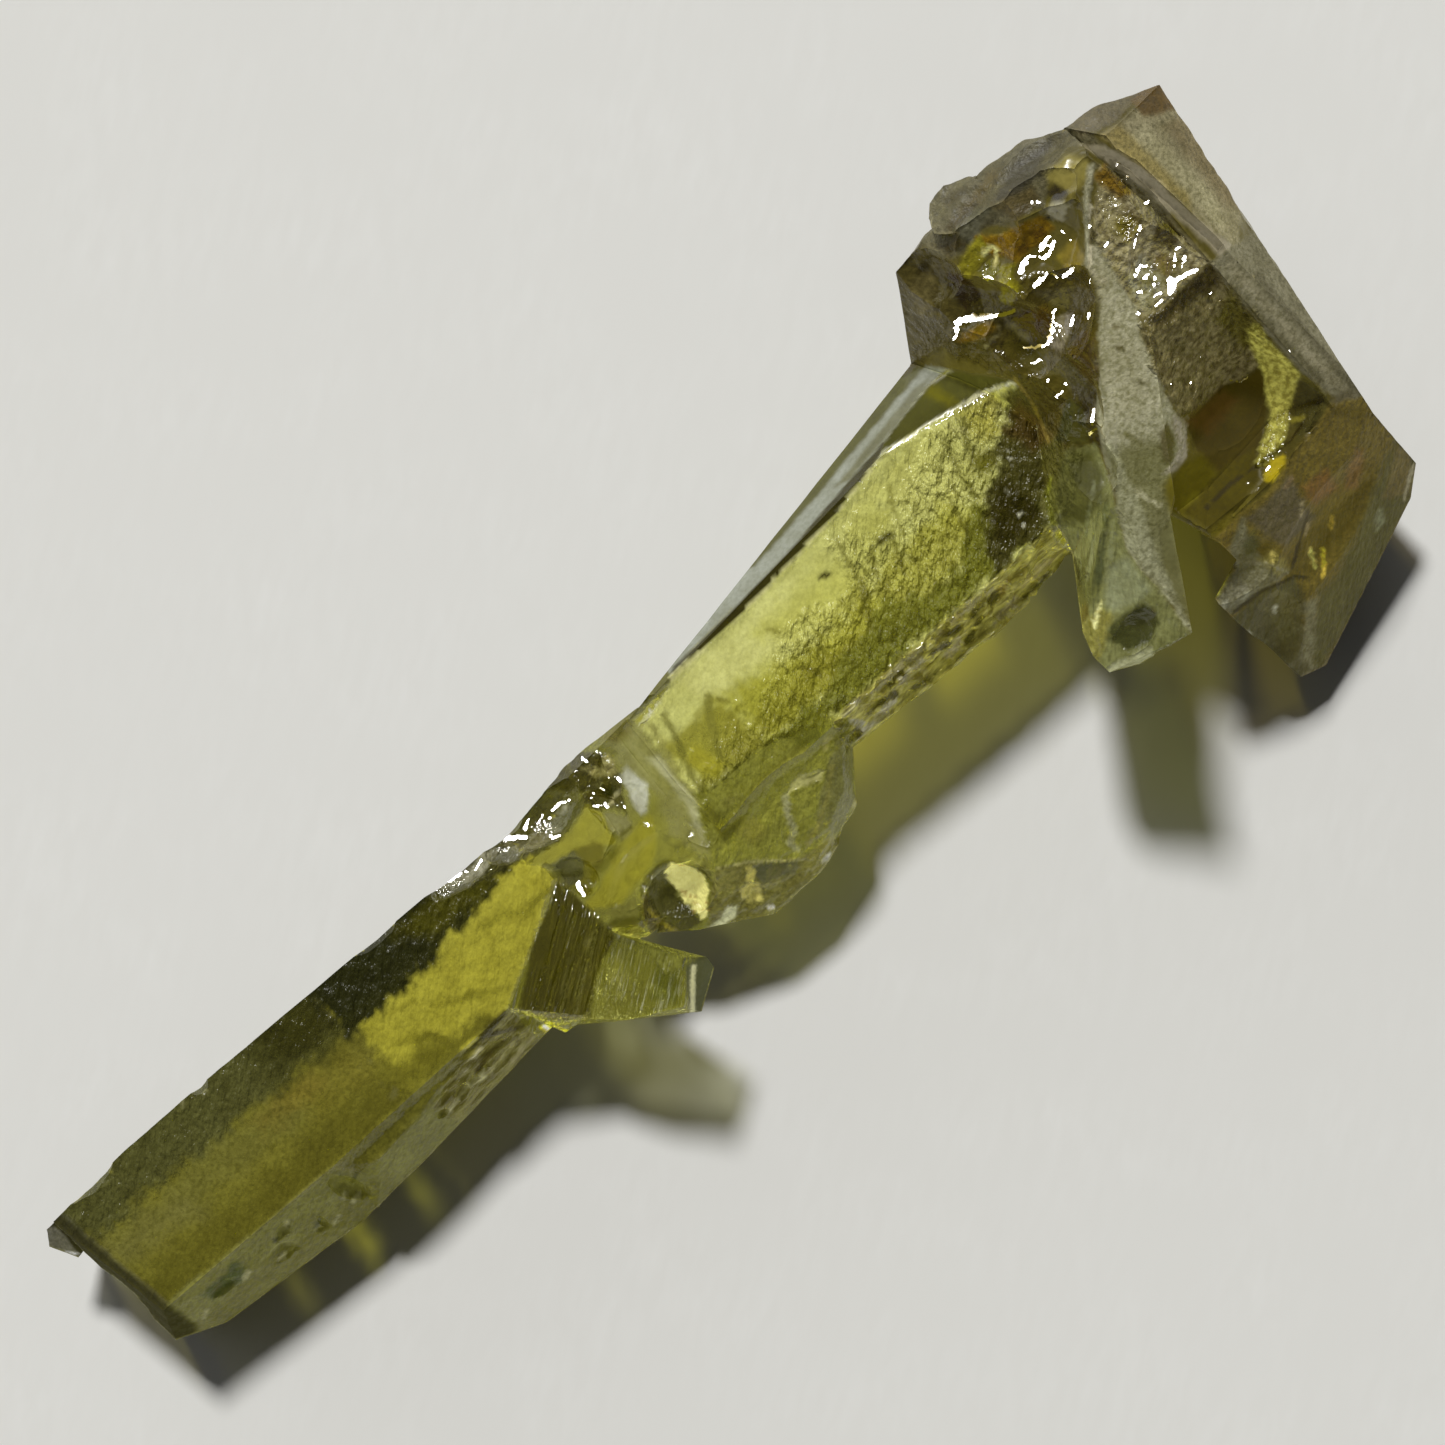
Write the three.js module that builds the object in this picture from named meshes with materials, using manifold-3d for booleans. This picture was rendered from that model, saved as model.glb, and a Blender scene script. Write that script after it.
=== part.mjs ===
// A broken zincite crystal: a long clear prism with a heavy fractured head at one end.
// Millimetres, +Z up. X runs along the crystal from its thin end to its head.
//
// Points are written as surveyed from an eye high over the middle of the crystal, as
// [x, y, z]: a point at height z reads wider than it lies, and truePlace() brings it in.
// The joined solid is then moved so that its origin is the bottom centre of its box.
import * as THREE from "three";
import { ConvexGeometry } from "three/addons/geometries/ConvexGeometry.js";
import { mergeVertices } from "three/addons/utils/BufferGeometryUtils.js";
import Module from "manifold-3d";

const wasm = await Module();
wasm.setup();

// ---- driving dimensions, in millimetres ----
const EYE_HEIGHT = 105; // the survey's eye over the ground
const TRUE_HEIGHT = 5; // the height at which a survey reading is true to size
const ROD_TOP = 5.0; // the rod's top face at x = 0, were it that long
const ROD_FOOT = 1.05; // the rod's underside, likewise
const SHANK_TOP = 5.05; // the shank's top face at x = 0
const SHANK_FOOT = 0.85;
const CLIMB = 0.042; // rise of every face of the prism per millimetre of x
const ROD_FALL = 0.05; // fall of the rod's top face towards its far edge
const CREST_PEAK = [19.8, 4.8, 11.5]; // the head's highest corner
const CREST_WAY = [-0.49, -0.87]; // the way the fin's crest falls, seen from above
const CREST_FALL = 0.258; // fall of the crest per millimetre along that way
const UNDER = -1; // a height clear below the crystal
const OVER = 13; // a height clear above it
const COLOUR = 0x8f9230;

const UP = new THREE.Vector3(0, 0, 1);
const DOWN_SIDE = [0, -0.7, 0.7]; // the way the prism's near side faces

// ---- places ----
function truePlace([x, y, z]) {
  const shrink = (EYE_HEIGHT - z) / (EYE_HEIGHT - TRUE_HEIGHT);
  return new THREE.Vector3(x * shrink, y * shrink, z);
}

const rodTop = (x, y) => [x, y, ROD_TOP + CLIMB * x - ROD_FALL * Math.max(y, 0)];
const rodFoot = (x, y) => [x, y, ROD_FOOT + CLIMB * x];
const shankTop = (x, y) => [x, y, SHANK_TOP + CLIMB * x];
const shankFoot = (x, y) => [x, y, SHANK_FOOT + CLIMB * x];

// The crest of the fin is one flat that falls from the head's top to the fin's tip.
function crest(x, y) {
  const [peakX, peakY, peakZ] = CREST_PEAK;
  const along = (x - peakX) * CREST_WAY[0] + (y - peakY) * CREST_WAY[1];
  return [x, y, peakZ - CREST_FALL * along];
}

const between = (a, b, way) => a.map((value, axis) => value + (b[axis] - value) * way);

// ---- making and joining solids ----
function solidOf(geometry) {
  const bare = geometry.clone();
  bare.deleteAttribute("normal");
  bare.deleteAttribute("uv");
  const merged = mergeVertices(bare, 1e-4);
  return new wasm.Manifold(
    new wasm.Mesh({
      numProp: 3,
      vertProperties: merged.attributes.position.array,
      triVerts: new Uint32Array(merged.index.array),
    }),
  );
}

const join = (solids) => solids.reduce((sum, next) => sum.add(next));
const cut = (solid, breaks) => breaks.reduce((rest, next) => rest.subtract(next), solid);

// A flat-faced block: the tightest solid round its surveyed points.
function block(...places) {
  return solidOf(new ConvexGeometry(places.map(truePlace)));
}

// A shell-shaped break: a shallow ellipsoid cap sunk into the surface at a place, with the
// cap's length, breadth and depth, the way its surface faces, its turn on that surface and
// how finely it is faceted.
function scoop(place, [length, breadth, depth], facing = [0, 0, 1], turn = 0, fine = 3.2) {
  const width = (length + breadth) / 2;
  const tall = (width * width) / (8 * depth) + depth / 2;
  const spread = Math.sqrt(1 - ((tall - depth) / tall) ** 2);
  const detail = THREE.MathUtils.clamp(Math.round((fine * tall) / width) - 1, 1, 9);
  const ball = new THREE.IcosahedronGeometry(1, detail);
  ball.scale(length / 2 / spread, breadth / 2 / spread, tall);
  ball.translate(0, 0, tall - depth);
  ball.rotateZ(THREE.MathUtils.degToRad(turn));
  const outward = new THREE.Vector3(...facing).normalize();
  ball.applyQuaternion(new THREE.Quaternion().setFromUnitVectors(UP, outward));
  ball.translate(...truePlace(place).toArray());
  return solidOf(ball);
}

// A straight V-shaped groove sunk into the surface between two places.
function groove(from, to, width, depth, facing = [0, 0, 1]) {
  const ends = [from, to].map(truePlace);
  const outward = new THREE.Vector3(...facing).normalize();
  const along = ends[1].clone().sub(ends[0]).normalize();
  const across = along.clone().cross(outward).normalize();
  const corners = ends.flatMap((end) => [
    end.clone().addScaledVector(across, width).addScaledVector(outward, depth),
    end.clone().addScaledVector(across, -width).addScaledVector(outward, depth),
    end.clone().addScaledVector(outward, -depth),
  ]);
  return solidOf(new ConvexGeometry(corners));
}

// Side by side grooves, from a first one to a last one, each [from, to].
function grooves(first, last, count, width, depth, facing) {
  return Array.from({ length: count }, (_, k) => {
    const way = k / (count - 1);
    const from = between(first[0], last[0], way);
    const to = between(first[1], last[1], way);
    return groove(from, to, width, depth, facing);
  });
}

// Repeatable scatter for the rows of small chips.
function scatter(seed) {
  let state = seed;
  return () => {
    state = (state * 16807) % 2147483647;
    return state / 2147483647;
  };
}

// A ragged row of small chips along a line between two places.
function chips(from, to, count, [length, breadth, depth], seed) {
  const draw = scatter(seed);
  return Array.from({ length: count }, (_, k) => {
    const middle = between(from, to, (k + draw()) / count);
    const size = [length * (0.6 + draw()), breadth * (0.6 + draw()), depth * (0.6 + draw())];
    const facing = DOWN_SIDE.map((value) => value + 0.7 * (draw() - 0.5));
    return scoop(middle, size, facing, 180 * draw(), 2);
  });
}

// ---- the rod: the thin half of the prism ----
function rod() {
  return block(
    rodTop(-25.9, 2.4),
    rodTop(-22.8, 2.55),
    rodTop(-20.0, 2.5),
    rodTop(-7.3, 2.05),
    rodTop(-7.1, -0.3),
    rodTop(-10.9, -2.15),
    rodTop(-18.3, -2.15),
    rodTop(-25.2, -1.95),
    [-25.5, -2.9, 2.0],
    [-24.0, -3.55, 1.9],
    [-21.0, -3.72, 1.9],
    [-18.7, -4.05, 2.0],
    [-15.8, -3.92, 2.1],
    [-13.0, -3.52, 2.4],
    [-9.0, -3.4, 2.6],
    rodFoot(-25.0, 0.9),
    rodFoot(-25.0, -2.0),
    rodFoot(-18.5, -2.5),
    rodFoot(-8.0, -2.3),
    rodFoot(-8.0, 0.9),
    rodFoot(-14.0, 0.5),
  );
}

// The low swelling of the rod's side, below its edge.
function rodLedge() {
  return block(
    [-18.2, -2.2, 3.9],
    [-17.0, -2.95, 3.8],
    [-15.2, -2.8, 3.9],
    [-13.2, -2.25, 4.2],
    [-18.1, -4.05, 2.3],
    [-14.2, -3.7, 2.4],
    [-17.0, -1.5, 1.2],
    [-13.5, -1.5, 1.2],
  );
}

// The curled splinter at the thin end.
function tip() {
  return block(
    [-26.5, 1.9, 2.7],
    [-26.2, 2.35, 3.2],
    [-25.2, 2.4, 3.7],
    [-25.0, 1.2, 3.7],
    [-26.05, 1.05, 2.5],
    [-25.3, 1.8, 1.4],
  );
}

// ---- the spur: a slab that stands out from the rod's side ----
function spurRoot() {
  return block(
    [-10.9, -2.15, 4.52],
    [-7.1, -0.3, 4.7],
    [-6.9, -2.7, 4.1],
    [-9.2, -4.0, 3.9],
    [-10.2, -3.2, 3.9],
    [-10.1, -3.9, 2.8],
    [-8.0, -4.2, 2.8],
    [-7.2, -2.4, 1.8],
    [-9.6, -2.0, 1.6],
  );
}

function spurPlate() {
  return block(
    [-6.9, -2.6, 4.25],
    [-9.3, -4.05, 4.0],
    [-5.95, -4.5, 5.3],
    [-6.85, -5.75, 5.2],
    [-8.4, -4.9, 4.5],
    [-5.25, -5.1, 4.6],
    [-5.3, -5.5, 4.3],
    [-6.5, -6.25, 4.3],
    [-5.9, -4.6, 3.7],
    [-8.0, -5.1, 3.6],
    [-9.6, -4.0, 3.0],
    [-7.2, -2.6, 2.4],
  );
}

// ---- the shank: the thick half of the prism ----
function shank() {
  return block(
    shankTop(-2.2, 2.0),
    shankTop(0.0, 2.1),
    shankTop(9.2, 2.85),
    shankTop(13.8, 1.8),
    shankTop(14.4, -2.0),
    shankTop(11.0, -2.35),
    shankTop(2.6, -2.35),
    shankTop(-2.4, -2.4),
    [14.5, 3.1, 5.0],
    [0.0, 2.25, 4.8],
    [12.1, 4.4, 4.2],
    [-3.4, 1.75, 3.6],
    [13.5, -3.3, 3.9],
    [8.7, -3.6, 3.8],
    [2.5, -3.3, 3.4],
    [-3.2, -2.9, 3.3],
    shankFoot(-3.0, 1.7),
    shankFoot(-3.0, -1.4),
    shankFoot(13.0, -1.3),
    shankFoot(13.0, 2.4),
  );
}

// The bridge between rod and shank, a step lower than both.
function bridge() {
  return block(
    [-8.6, 1.7, 4.0],
    [-7.6, -1.9, 4.2],
    [-6.2, -2.9, 4.0],
    [-2.9, -3.2, 4.3],
    [-1.5, -2.8, 4.4],
    [-1.5, 2.1, 4.4],
    [-3.6, 2.0, 4.35],
    [-4.1, 2.3, 3.9],
    [-5.0, 2.05, 3.7],
    [-6.1, -3.4, 2.8],
    [-1.5, -3.8, 2.8],
    rodFoot(-9.5, 0.9),
    rodFoot(-9.5, -2.0),
    rodFoot(-1.0, -2.2),
    rodFoot(-1.0, 1.4),
  );
}

// A low slab on the bridge, left standing between the breaks.
function bridgeSlab() {
  return block(
    [-7.6, 1.1, 4.75],
    [-4.6, 1.1, 4.8],
    [-4.75, -0.2, 4.75],
    [-5.7, -0.7, 4.6],
    [-7.1, 0.3, 4.7],
    [-7.6, 1.5, 3.5],
    [-4.5, 1.5, 3.5],
    [-4.6, -0.6, 3.5],
    [-7.1, 0.0, 3.5],
  );
}

// The swelling under the shank's near end, with a curved broken face.
function belly() {
  return block(
    shankTop(-2.4, -1.5),
    shankTop(0.0, -1.6),
    shankTop(2.7, -1.9),
    [-3.4, -3.3, 4.2],
    [-1.6, -4.3, 3.7],
    [0.4, -4.5, 3.7],
    [1.4, -4.1, 4.0],
    [2.5, -2.7, 4.8],
    [-3.6, -4.6, 3.0],
    [-2.8, -5.5, 2.6],
    [-1.3, -5.7, 2.5],
    [0.1, -5.25, 2.6],
    [1.4, -4.7, 3.0],
    [2.5, -3.3, 3.4],
    [-5.0, -4.2, 3.0],
    [-5.9, -3.5, 3.0],
    [-2.6, -3.8, 1.6],
    [0.8, -3.8, 1.6],
    [-4.4, -2.6, 1.4],
    [-1.8, -1.0, 1.1],
    [2.2, -1.2, 1.2],
  );
}

// ---- the head ----
function headCore() {
  return block(
    [13.4, 6.8, 7.0],
    [12.3, 5.0, 5.0],
    [11.8, 4.3, 4.1],
    [15.1, 7.0, 8.2],
    [17.4, 7.4, 8.9],
    [19.1, 7.2, 9.3],
    [20.3, 6.6, 9.8],
    [16.4, 6.0, 10.2],
    [18.3, 6.2, 10.9],
    [20.4, 5.8, 10.9],
    crest(19.8, 4.8),
    crest(17.9, 3.2),
    crest(18.4, 2.5),
    [20.8, 0.5, 9.9],
    [15.0, 4.4, 9.2],
    [14.2, 2.8, 7.4],
    crest(16.0, 0.1),
    [14.7, -4.5, 6.1],
    [15.2, -5.9, 6.3],
    [20.7, -5.4, 7.0],
    [14.2, 3.0, 0],
    [17.0, 4.4, 0],
    [19.2, 3.6, 0],
    [19.6, -3.0, 0],
    [15.0, -4.6, 0],
    [13.2, -0.6, 0],
  );
}

// The rounded lump on the head's far rim.
function lump() {
  return block(
    [15.25, 7.4, 8.4],
    [15.6, 7.7, 8.7],
    [16.3, 7.82, 8.8],
    [17.1, 7.55, 8.8],
    [15.1, 6.9, 9.0],
    [17.4, 6.9, 9.6],
    [15.3, 6.9, 7.4],
    [17.4, 7.2, 7.6],
    [16.2, 6.0, 9.9],
  );
}

// The upright plate along the head's far side: a pale wedge above, a narrow ledge below.
function backPlate() {
  return block(
    [20.3, 6.65, 9.9],
    [21.3, 6.55, 9.9],
    [23.4, 5.65, 9.3],
    [23.1, 4.2, 9.0],
    [22.3, 1.0, 8.9],
    [21.85, -1.2, 8.6],
    [21.1, 5.6, 10.9],
    [21.5, 0.8, 10.1],
    [20.9, 0.4, 10.0],
    [20.85, -4.0, 8.0],
    [21.75, -4.8, 7.4],
    [20.7, -5.4, 7.1],
    [21.5, -6.4, 6.1],
    [20.3, 5.6, 7.0],
    [22.4, 4.6, 6.5],
    [20.2, 4.0, 1.6],
    [20.9, -3.0, 2.4],
    [19.8, -5.0, 2.4],
  );
}

// The blunt lobe that slopes down to the ground.
function lobe() {
  return block(
    [15.2, -5.9, 6.3],
    [17.6, -5.85, 6.8],
    [20.7, -5.4, 7.0],
    [21.5, -6.3, 6.1],
    [16.4, -8.5, 4.9],
    [13.95, -7.5, 4.9],
    [21.45, -8.45, 3.1],
    [20.6, -9.15, 2.5],
    [17.6, -10.3, 1.8],
    [15.15, -11.25, 1.3],
    [14.35, -11.0, 1.5],
    [14.0, -8.4, 4.1],
    [14.8, -9.3, 0],
    [17.0, -8.9, 0],
    [19.2, -7.2, 0],
    [19.6, -3.0, 0],
    [15.6, -4.6, 0],
  );
}

// The gap between lobe and fin, open right down to the ground.
function notch() {
  const outline = [
    [14.0, -7.38],
    [15.3, -6.95],
    [15.25, -6.2],
    [14.65, -4.6],
    [12.0, -4.6],
    [12.0, -7.38],
  ];
  return block(...outline.flatMap(([x, y]) => [UNDER, OVER].map((z) => [x, y, z])));
}

// The fin: a frosted blade that leans out over the ground, in two stretches.
function finRoot() {
  return block(
    crest(18.4, 3.0),
    crest(16.9, 1.3),
    crest(15.4, -0.6),
    crest(14.2, -2.3),
    crest(13.6, -3.2),
    crest(18.2, 1.0),
    crest(17.3, -1.0),
    crest(16.8, -3.0),
    crest(14.7, -4.5),
    [13.6, 0.5, 5.8],
    [12.1, -1.6, 5.4],
    [11.6, -3.4, 5.0],
    [12.6, -3.2, 3.0],
    [14.8, -4.6, 3.0],
    [17.0, -3.0, 3.0],
  );
}

function finTip() {
  return block(
    crest(14.2, -2.3),
    crest(13.6, -3.2),
    crest(12.95, -5.2),
    crest(12.85, -6.4),
    crest(12.75, -7.7),
    crest(13.1, -7.0),
    crest(13.5, -5.9),
    crest(14.7, -4.5),
    [11.6, -3.4, 5.4],
    [10.2, -5.45, 6.3],
    [9.95, -6.2, 6.3],
    [10.0, -6.9, 6.2],
    [10.9, -7.35, 6.1],
    [11.9, -7.25, 6.4],
    [11.9, -4.4, 4.3],
    [10.7, -6.0, 5.2],
    [12.7, -6.6, 6.0],
    [14.0, -4.6, 4.4],
  );
}

// ---- what has broken away ----
const rodBreaks = [
  scoop([-25.7, -0.6, 2.4], [3.4, 3.0, 0.4], [-1, -0.1, 0.2]),
  scoop([-26.1, 1.7, 3.4], [0.6, 1.1, 0.2], [-0.6, 0, 0.8]),
  scoop([-24.3, 2.45, 3.8], [1.8, 0.8, 0.16], [0, 0.7, 0.7]),
  scoop([-19.7, 2.45, 4.0], [0.6, 0.6, 0.14], [0, 0.6, 0.8]),
  scoop([-12.5, 2.2, 4.3], [1.6, 0.7, 0.12], [0, 0.7, 0.7]),
  scoop([-18.4, -2.9, 3.2], [0.7, 1.8, 0.3], [0.2, -0.7, 0.7], 12),
  scoop([-20.8, -2.6, 3.5], [0.9, 0.5, 0.14], DOWN_SIDE, 30),
  scoop([-23.4, -2.7, 3.2], [1.2, 0.7, 0.16], DOWN_SIDE),
  scoop([-12.6, -2.9, 3.7], [2.8, 1.2, 0.3], DOWN_SIDE, 4),
  scoop([-21.5, 2.0, 1.5], [3.5, 2.0, 0.3], [0, 1, -0.5], 10),
  scoop([-14.5, 1.6, 2.2], [4.6, 1.8, 0.25], [0, 1, -0.5], -8),
  ...chips([-24.8, -3.2, 2.7], [-19.2, -3.4, 2.8], 8, [0.8, 0.5, 0.14], 11),
  ...chips([-14.6, -3.2, 3.2], [-11.3, -3.1, 3.4], 6, [0.8, 0.5, 0.18], 23),
];

const spurBreaks = [
  ...grooves(
    [
      [-7.3, -0.8, 4.6],
      [-10.4, -2.7, 4.35],
    ],
    [
      [-7.0, -2.5, 4.2],
      [-9.3, -3.9, 3.95],
    ],
    5,
    0.16,
    0.09,
  ),
  scoop([-7.2, -4.4, 4.75], [3.2, 1.6, 0.1], [-0.2, 0.2, 1], 34),
];

// The shell-shaped breaks along the rod's far edge, next to the bridge.
const edgeBreaks = [
  scoop([-9.2, 1.9, 4.45], [2.6, 1.1, 0.4], [0, 0.5, 1], -6),
  scoop([-7.6, 1.75, 4.5], [1.9, 1.6, 0.5], [0.1, 0.5, 1], -25),
  scoop([-5.9, 1.5, 4.25], [2.6, 1.7, 0.55], [0, 0.3, 1], 4),
];

// The sharp hollow beside the small peak on the bridge's rim.
function rimHollow() {
  return block(
    [-4.8, 1.2, 5.2],
    [-3.2, 2.05, 5.2],
    [-4.1, -0.3, 5.2],
    [-4.6, 1.2, 4.3],
    [-3.5, 1.8, 4.3],
    [-4.1, 1.0, 3.5],
  );
}

const bridgeBreaks = [
  rimHollow(),
  scoop([-6.5, -0.5, 4.3], [1.1, 1.5, 0.4], [-0.2, -0.3, 1], 10),
  scoop([-3.5, -0.2, 4.5], [1.8, 2.6, 0.35], [-0.2, 0, 1], 20),
  scoop([-5.0, -1.6, 4.35], [3.6, 1.7, 0.35], [0, -0.2, 1], 12),
  scoop([-2.7, -1.6, 4.6], [1.0, 2.8, 0.3], [-0.5, 0, 1], 5),
  scoop([-5.0, 1.6, 2.2], [4.0, 1.8, 0.4], [0, 1, -0.4], 6),
  scoop([-6.9, -1.4, 4.5], [0.9, 3.0, 0.3], [-0.3, 0, 1], 4),
  scoop([-1.5, 0.0, 5.0], [0.6, 2.8, 0.1], [-0.2, 0, 1], -14),
];

const bellyBreaks = [
  scoop([-4.7, -3.0, 3.95], [2.5, 2.3, 0.75], [0.1, -0.6, 0.8]),
  scoop([-2.9, -4.7, 3.4], [1.5, 1.1, 0.35], [-0.2, -0.6, 0.8], 30),
  scoop([-0.8, -3.2, 4.35], [3.2, 1.7, 0.2], [0, -0.4, 0.9], 12),
  scoop([0.7, -3.1, 4.5], [1.4, 0.5, 0.14], [0, -0.4, 0.9], -14),
  scoop([-0.9, -4.0, 4.0], [0.5, 1.3, 0.14], [0.2, -0.5, 0.9], -14),
  scoop([0.6, -5.0, 3.0], [1.5, 1.2, 0.3], [0.1, -0.8, 0.4], 20),
  scoop([-4.2, -4.6, 3.2], [1.1, 0.6, 0.25], [-0.2, -0.7, 0.6]),
  scoop([-1.5, -4.6, 1.9], [3.4, 1.6, 0.2], [0, -0.8, -0.6], 8),
];

const shankBreaks = [
  scoop([-1.6, 1.9, 4.95], [1.2, 0.8, 0.25], [0, 0.3, 1]),
  ...chips([2.8, -2.5, 4.9], [11.4, -2.5, 5.3], 15, [1.1, 0.4, 0.16], 7),
  ...chips([2.7, -3.05, 4.0], [11.2, -3.25, 4.1], 15, [1.1, 0.7, 0.17], 31),
];

const headBreaks = [
  scoop([14.4, 4.1, 8.0], [3.4, 2.0, 0.5], [-0.6, 0.2, 0.75], -34),
  scoop([13.9, 5.3, 7.5], [1.8, 2.4, 0.3], [-0.6, 0.3, 0.75]),
  scoop([15.6, 5.2, 9.4], [3.2, 2.2, 0.5], [-0.4, 0.2, 0.9], 15),
  scoop([17.0, 4.1, 10.1], [3.4, 2.4, 0.6], [-0.3, 0, 1], 14),
  scoop([17.8, 5.6, 10.7], [3.0, 1.5, 0.4], [-0.1, 0.2, 1], -15),
  scoop([16.3, 2.5, 9.6], [3.2, 2.0, 0.6], [-0.35, 0, 0.9], 38),
  scoop([14.8, 2.5, 8.0], [2.4, 2.6, 0.5], [-0.5, 0, 0.85]),
  scoop([14.8, 0.6, 8.3], [2.2, 2.7, 0.5], [-0.6, 0, 0.8]),
  scoop([14.4, -1.2, 8.0], [1.8, 2.0, 0.35], [-0.8, -0.1, 0.5]),
  scoop([19.6, 3.6, 11.1], [1.9, 3.6, 0.45], [0.3, 0, 1], -10),
  scoop([19.6, 1.4, 10.5], [2.6, 2.4, 0.45], [0.2, -0.2, 1], 20),
  scoop([16.0, 6.7, 9.6], [2.8, 1.2, 0.25], [-0.1, 0.7, 0.8], 5),
  scoop([18.7, 6.6, 10.0], [3.0, 1.4, 0.3], [0.1, 0.7, 0.8], -8),
  scoop([14.4, 5.2, 4.0], [3.0, 3.2, 0.3], [-0.2, 0.9, -0.4], 20),
  scoop([17.6, 6.4, 5.0], [5.0, 4.2, 0.5], [0, 1, -0.25], 15),
  groove([20.5, 5.9, 10.8], [21.15, 4.2, 10.6], 0.35, 0.6),
  groove([21.1, 4.4, 10.6], [21.45, 0.6, 10.1], 0.35, 0.6),
];

// The bowl between the fin and the far ledge: straight walls round a smooth deep floor.
function bowl() {
  const rim = [
    [18.3, 0.5, 10.2],
    [20.8, 0.45, 9.8],
    [20.75, -5.0, 7.1],
    [18.5, -5.75, 6.7],
    [15.2, -5.6, 6.2],
    [14.9, -4.6, 6.4],
    [16.8, -3.1, 8.8],
    [17.4, -1.0, 9.6],
  ];
  const floor = [
    [18.3, -2.3, 7.3],
    [20.0, -2.2, 7.2],
    [19.2, -4.4, 6.2],
    [16.2, -4.7, 5.8],
  ];
  return block(...rim, ...rim.map(([x, y]) => [x, y, OVER]), ...floor);
}

const bowlFloor = scoop([18.3, -3.6, 6.9], [4.0, 2.6, 0.9], [-0.1, -0.1, 1], 30, 5);

const finBreaks = [
  scoop([11.9, -4.8, 7.5], [3.4, 1.3, 0.16], [-0.5, -0.1, 0.8], 44),
  scoop([11.4, -6.5, 7.05], [1.7, 1.0, 0.2], [-0.5, -0.1, 0.8], 10),
  scoop([11.9, -7.5, 6.6], [1.2, 0.7, 0.2], [-0.1, -0.9, 0.3]),
];

const lobeBreaks = [
  scoop([15.2, -9.4, 3.5], [3.4, 1.7, 0.3], [-0.45, -0.6, 0.65], 60),
  scoop([14.9, -7.6, 4.95], [2.0, 1.2, 0.15], [-0.2, -0.1, 1], 0),
  scoop([18.6, -8.2, 4.3], [4.4, 2.2, 0.2], [0.05, -0.6, 0.8], 12),
];

// ---- joining the crystal ----
const prism = cut(
  join([
    rod(),
    rodLedge(),
    tip(),
    spurRoot(),
    spurPlate(),
    bridge(),
    bridgeSlab(),
    belly(),
    shank(),
  ]),
  [...rodBreaks, ...spurBreaks, ...edgeBreaks, ...bridgeBreaks, ...bellyBreaks, ...shankBreaks],
);
const head = cut(join([headCore(), lump(), backPlate(), lobe()]), [notch(), ...lobeBreaks]);
const fin = cut(join([finRoot(), finTip()]), finBreaks);
const crystal = cut(join([prism, head, fin]), [...headBreaks, bowl(), bowlFloor]);

// ---- the scene graph ----
function geometryOf(solid) {
  const mesh = solid.getMesh();
  const geometry = new THREE.BufferGeometry();
  geometry.setAttribute(
    "position",
    new THREE.BufferAttribute(new Float32Array(mesh.vertProperties), 3),
  );
  geometry.setIndex(new THREE.BufferAttribute(new Uint32Array(mesh.triVerts), 1));
  geometry.computeBoundingBox();
  const { min, max } = geometry.boundingBox;
  geometry.translate(-(min.x + max.x) / 2, -(min.y + max.y) / 2, -min.z);
  return geometry;
}

const group = new THREE.Group();
const mesh = new THREE.Mesh(
  geometryOf(crystal),
  new THREE.MeshStandardMaterial({ color: COLOUR, roughness: 0.15, metalness: 0 }),
);
mesh.name = "crystal";
group.add(mesh);

export default group;
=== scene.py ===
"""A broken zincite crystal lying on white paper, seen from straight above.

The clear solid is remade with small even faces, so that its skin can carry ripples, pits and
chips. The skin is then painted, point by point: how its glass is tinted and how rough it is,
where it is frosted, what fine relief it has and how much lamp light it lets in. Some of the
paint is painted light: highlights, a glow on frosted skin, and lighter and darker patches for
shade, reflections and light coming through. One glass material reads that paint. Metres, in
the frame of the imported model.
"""

import math
from functools import partial, partialmethod, reduce

import bpy
import numpy as np
from mathutils import Euler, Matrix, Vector, noise


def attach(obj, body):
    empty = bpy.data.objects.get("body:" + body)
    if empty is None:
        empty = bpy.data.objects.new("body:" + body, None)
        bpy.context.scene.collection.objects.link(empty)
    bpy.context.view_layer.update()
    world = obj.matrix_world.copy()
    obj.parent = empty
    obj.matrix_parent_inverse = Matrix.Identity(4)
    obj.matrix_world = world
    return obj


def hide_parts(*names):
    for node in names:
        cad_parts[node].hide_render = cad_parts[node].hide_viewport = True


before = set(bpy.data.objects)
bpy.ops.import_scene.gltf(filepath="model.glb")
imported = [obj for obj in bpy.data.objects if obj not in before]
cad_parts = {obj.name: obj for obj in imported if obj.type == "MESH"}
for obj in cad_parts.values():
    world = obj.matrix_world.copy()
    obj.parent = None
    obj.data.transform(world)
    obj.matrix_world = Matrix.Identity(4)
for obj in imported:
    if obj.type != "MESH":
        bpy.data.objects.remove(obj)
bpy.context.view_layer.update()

MM = 0.001

# ---- how places are given ----
# Places on the crystal are given in millimetres as they look from an eye straight above its
# middle: a point at height z looks further out than it is, and place() brings it in.
EYE_HEIGHT = 105
TRUE_HEIGHT = 5
MIDDLE = (2.358, 2.072)  # where the eye stands over the crystal's own frame

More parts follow.
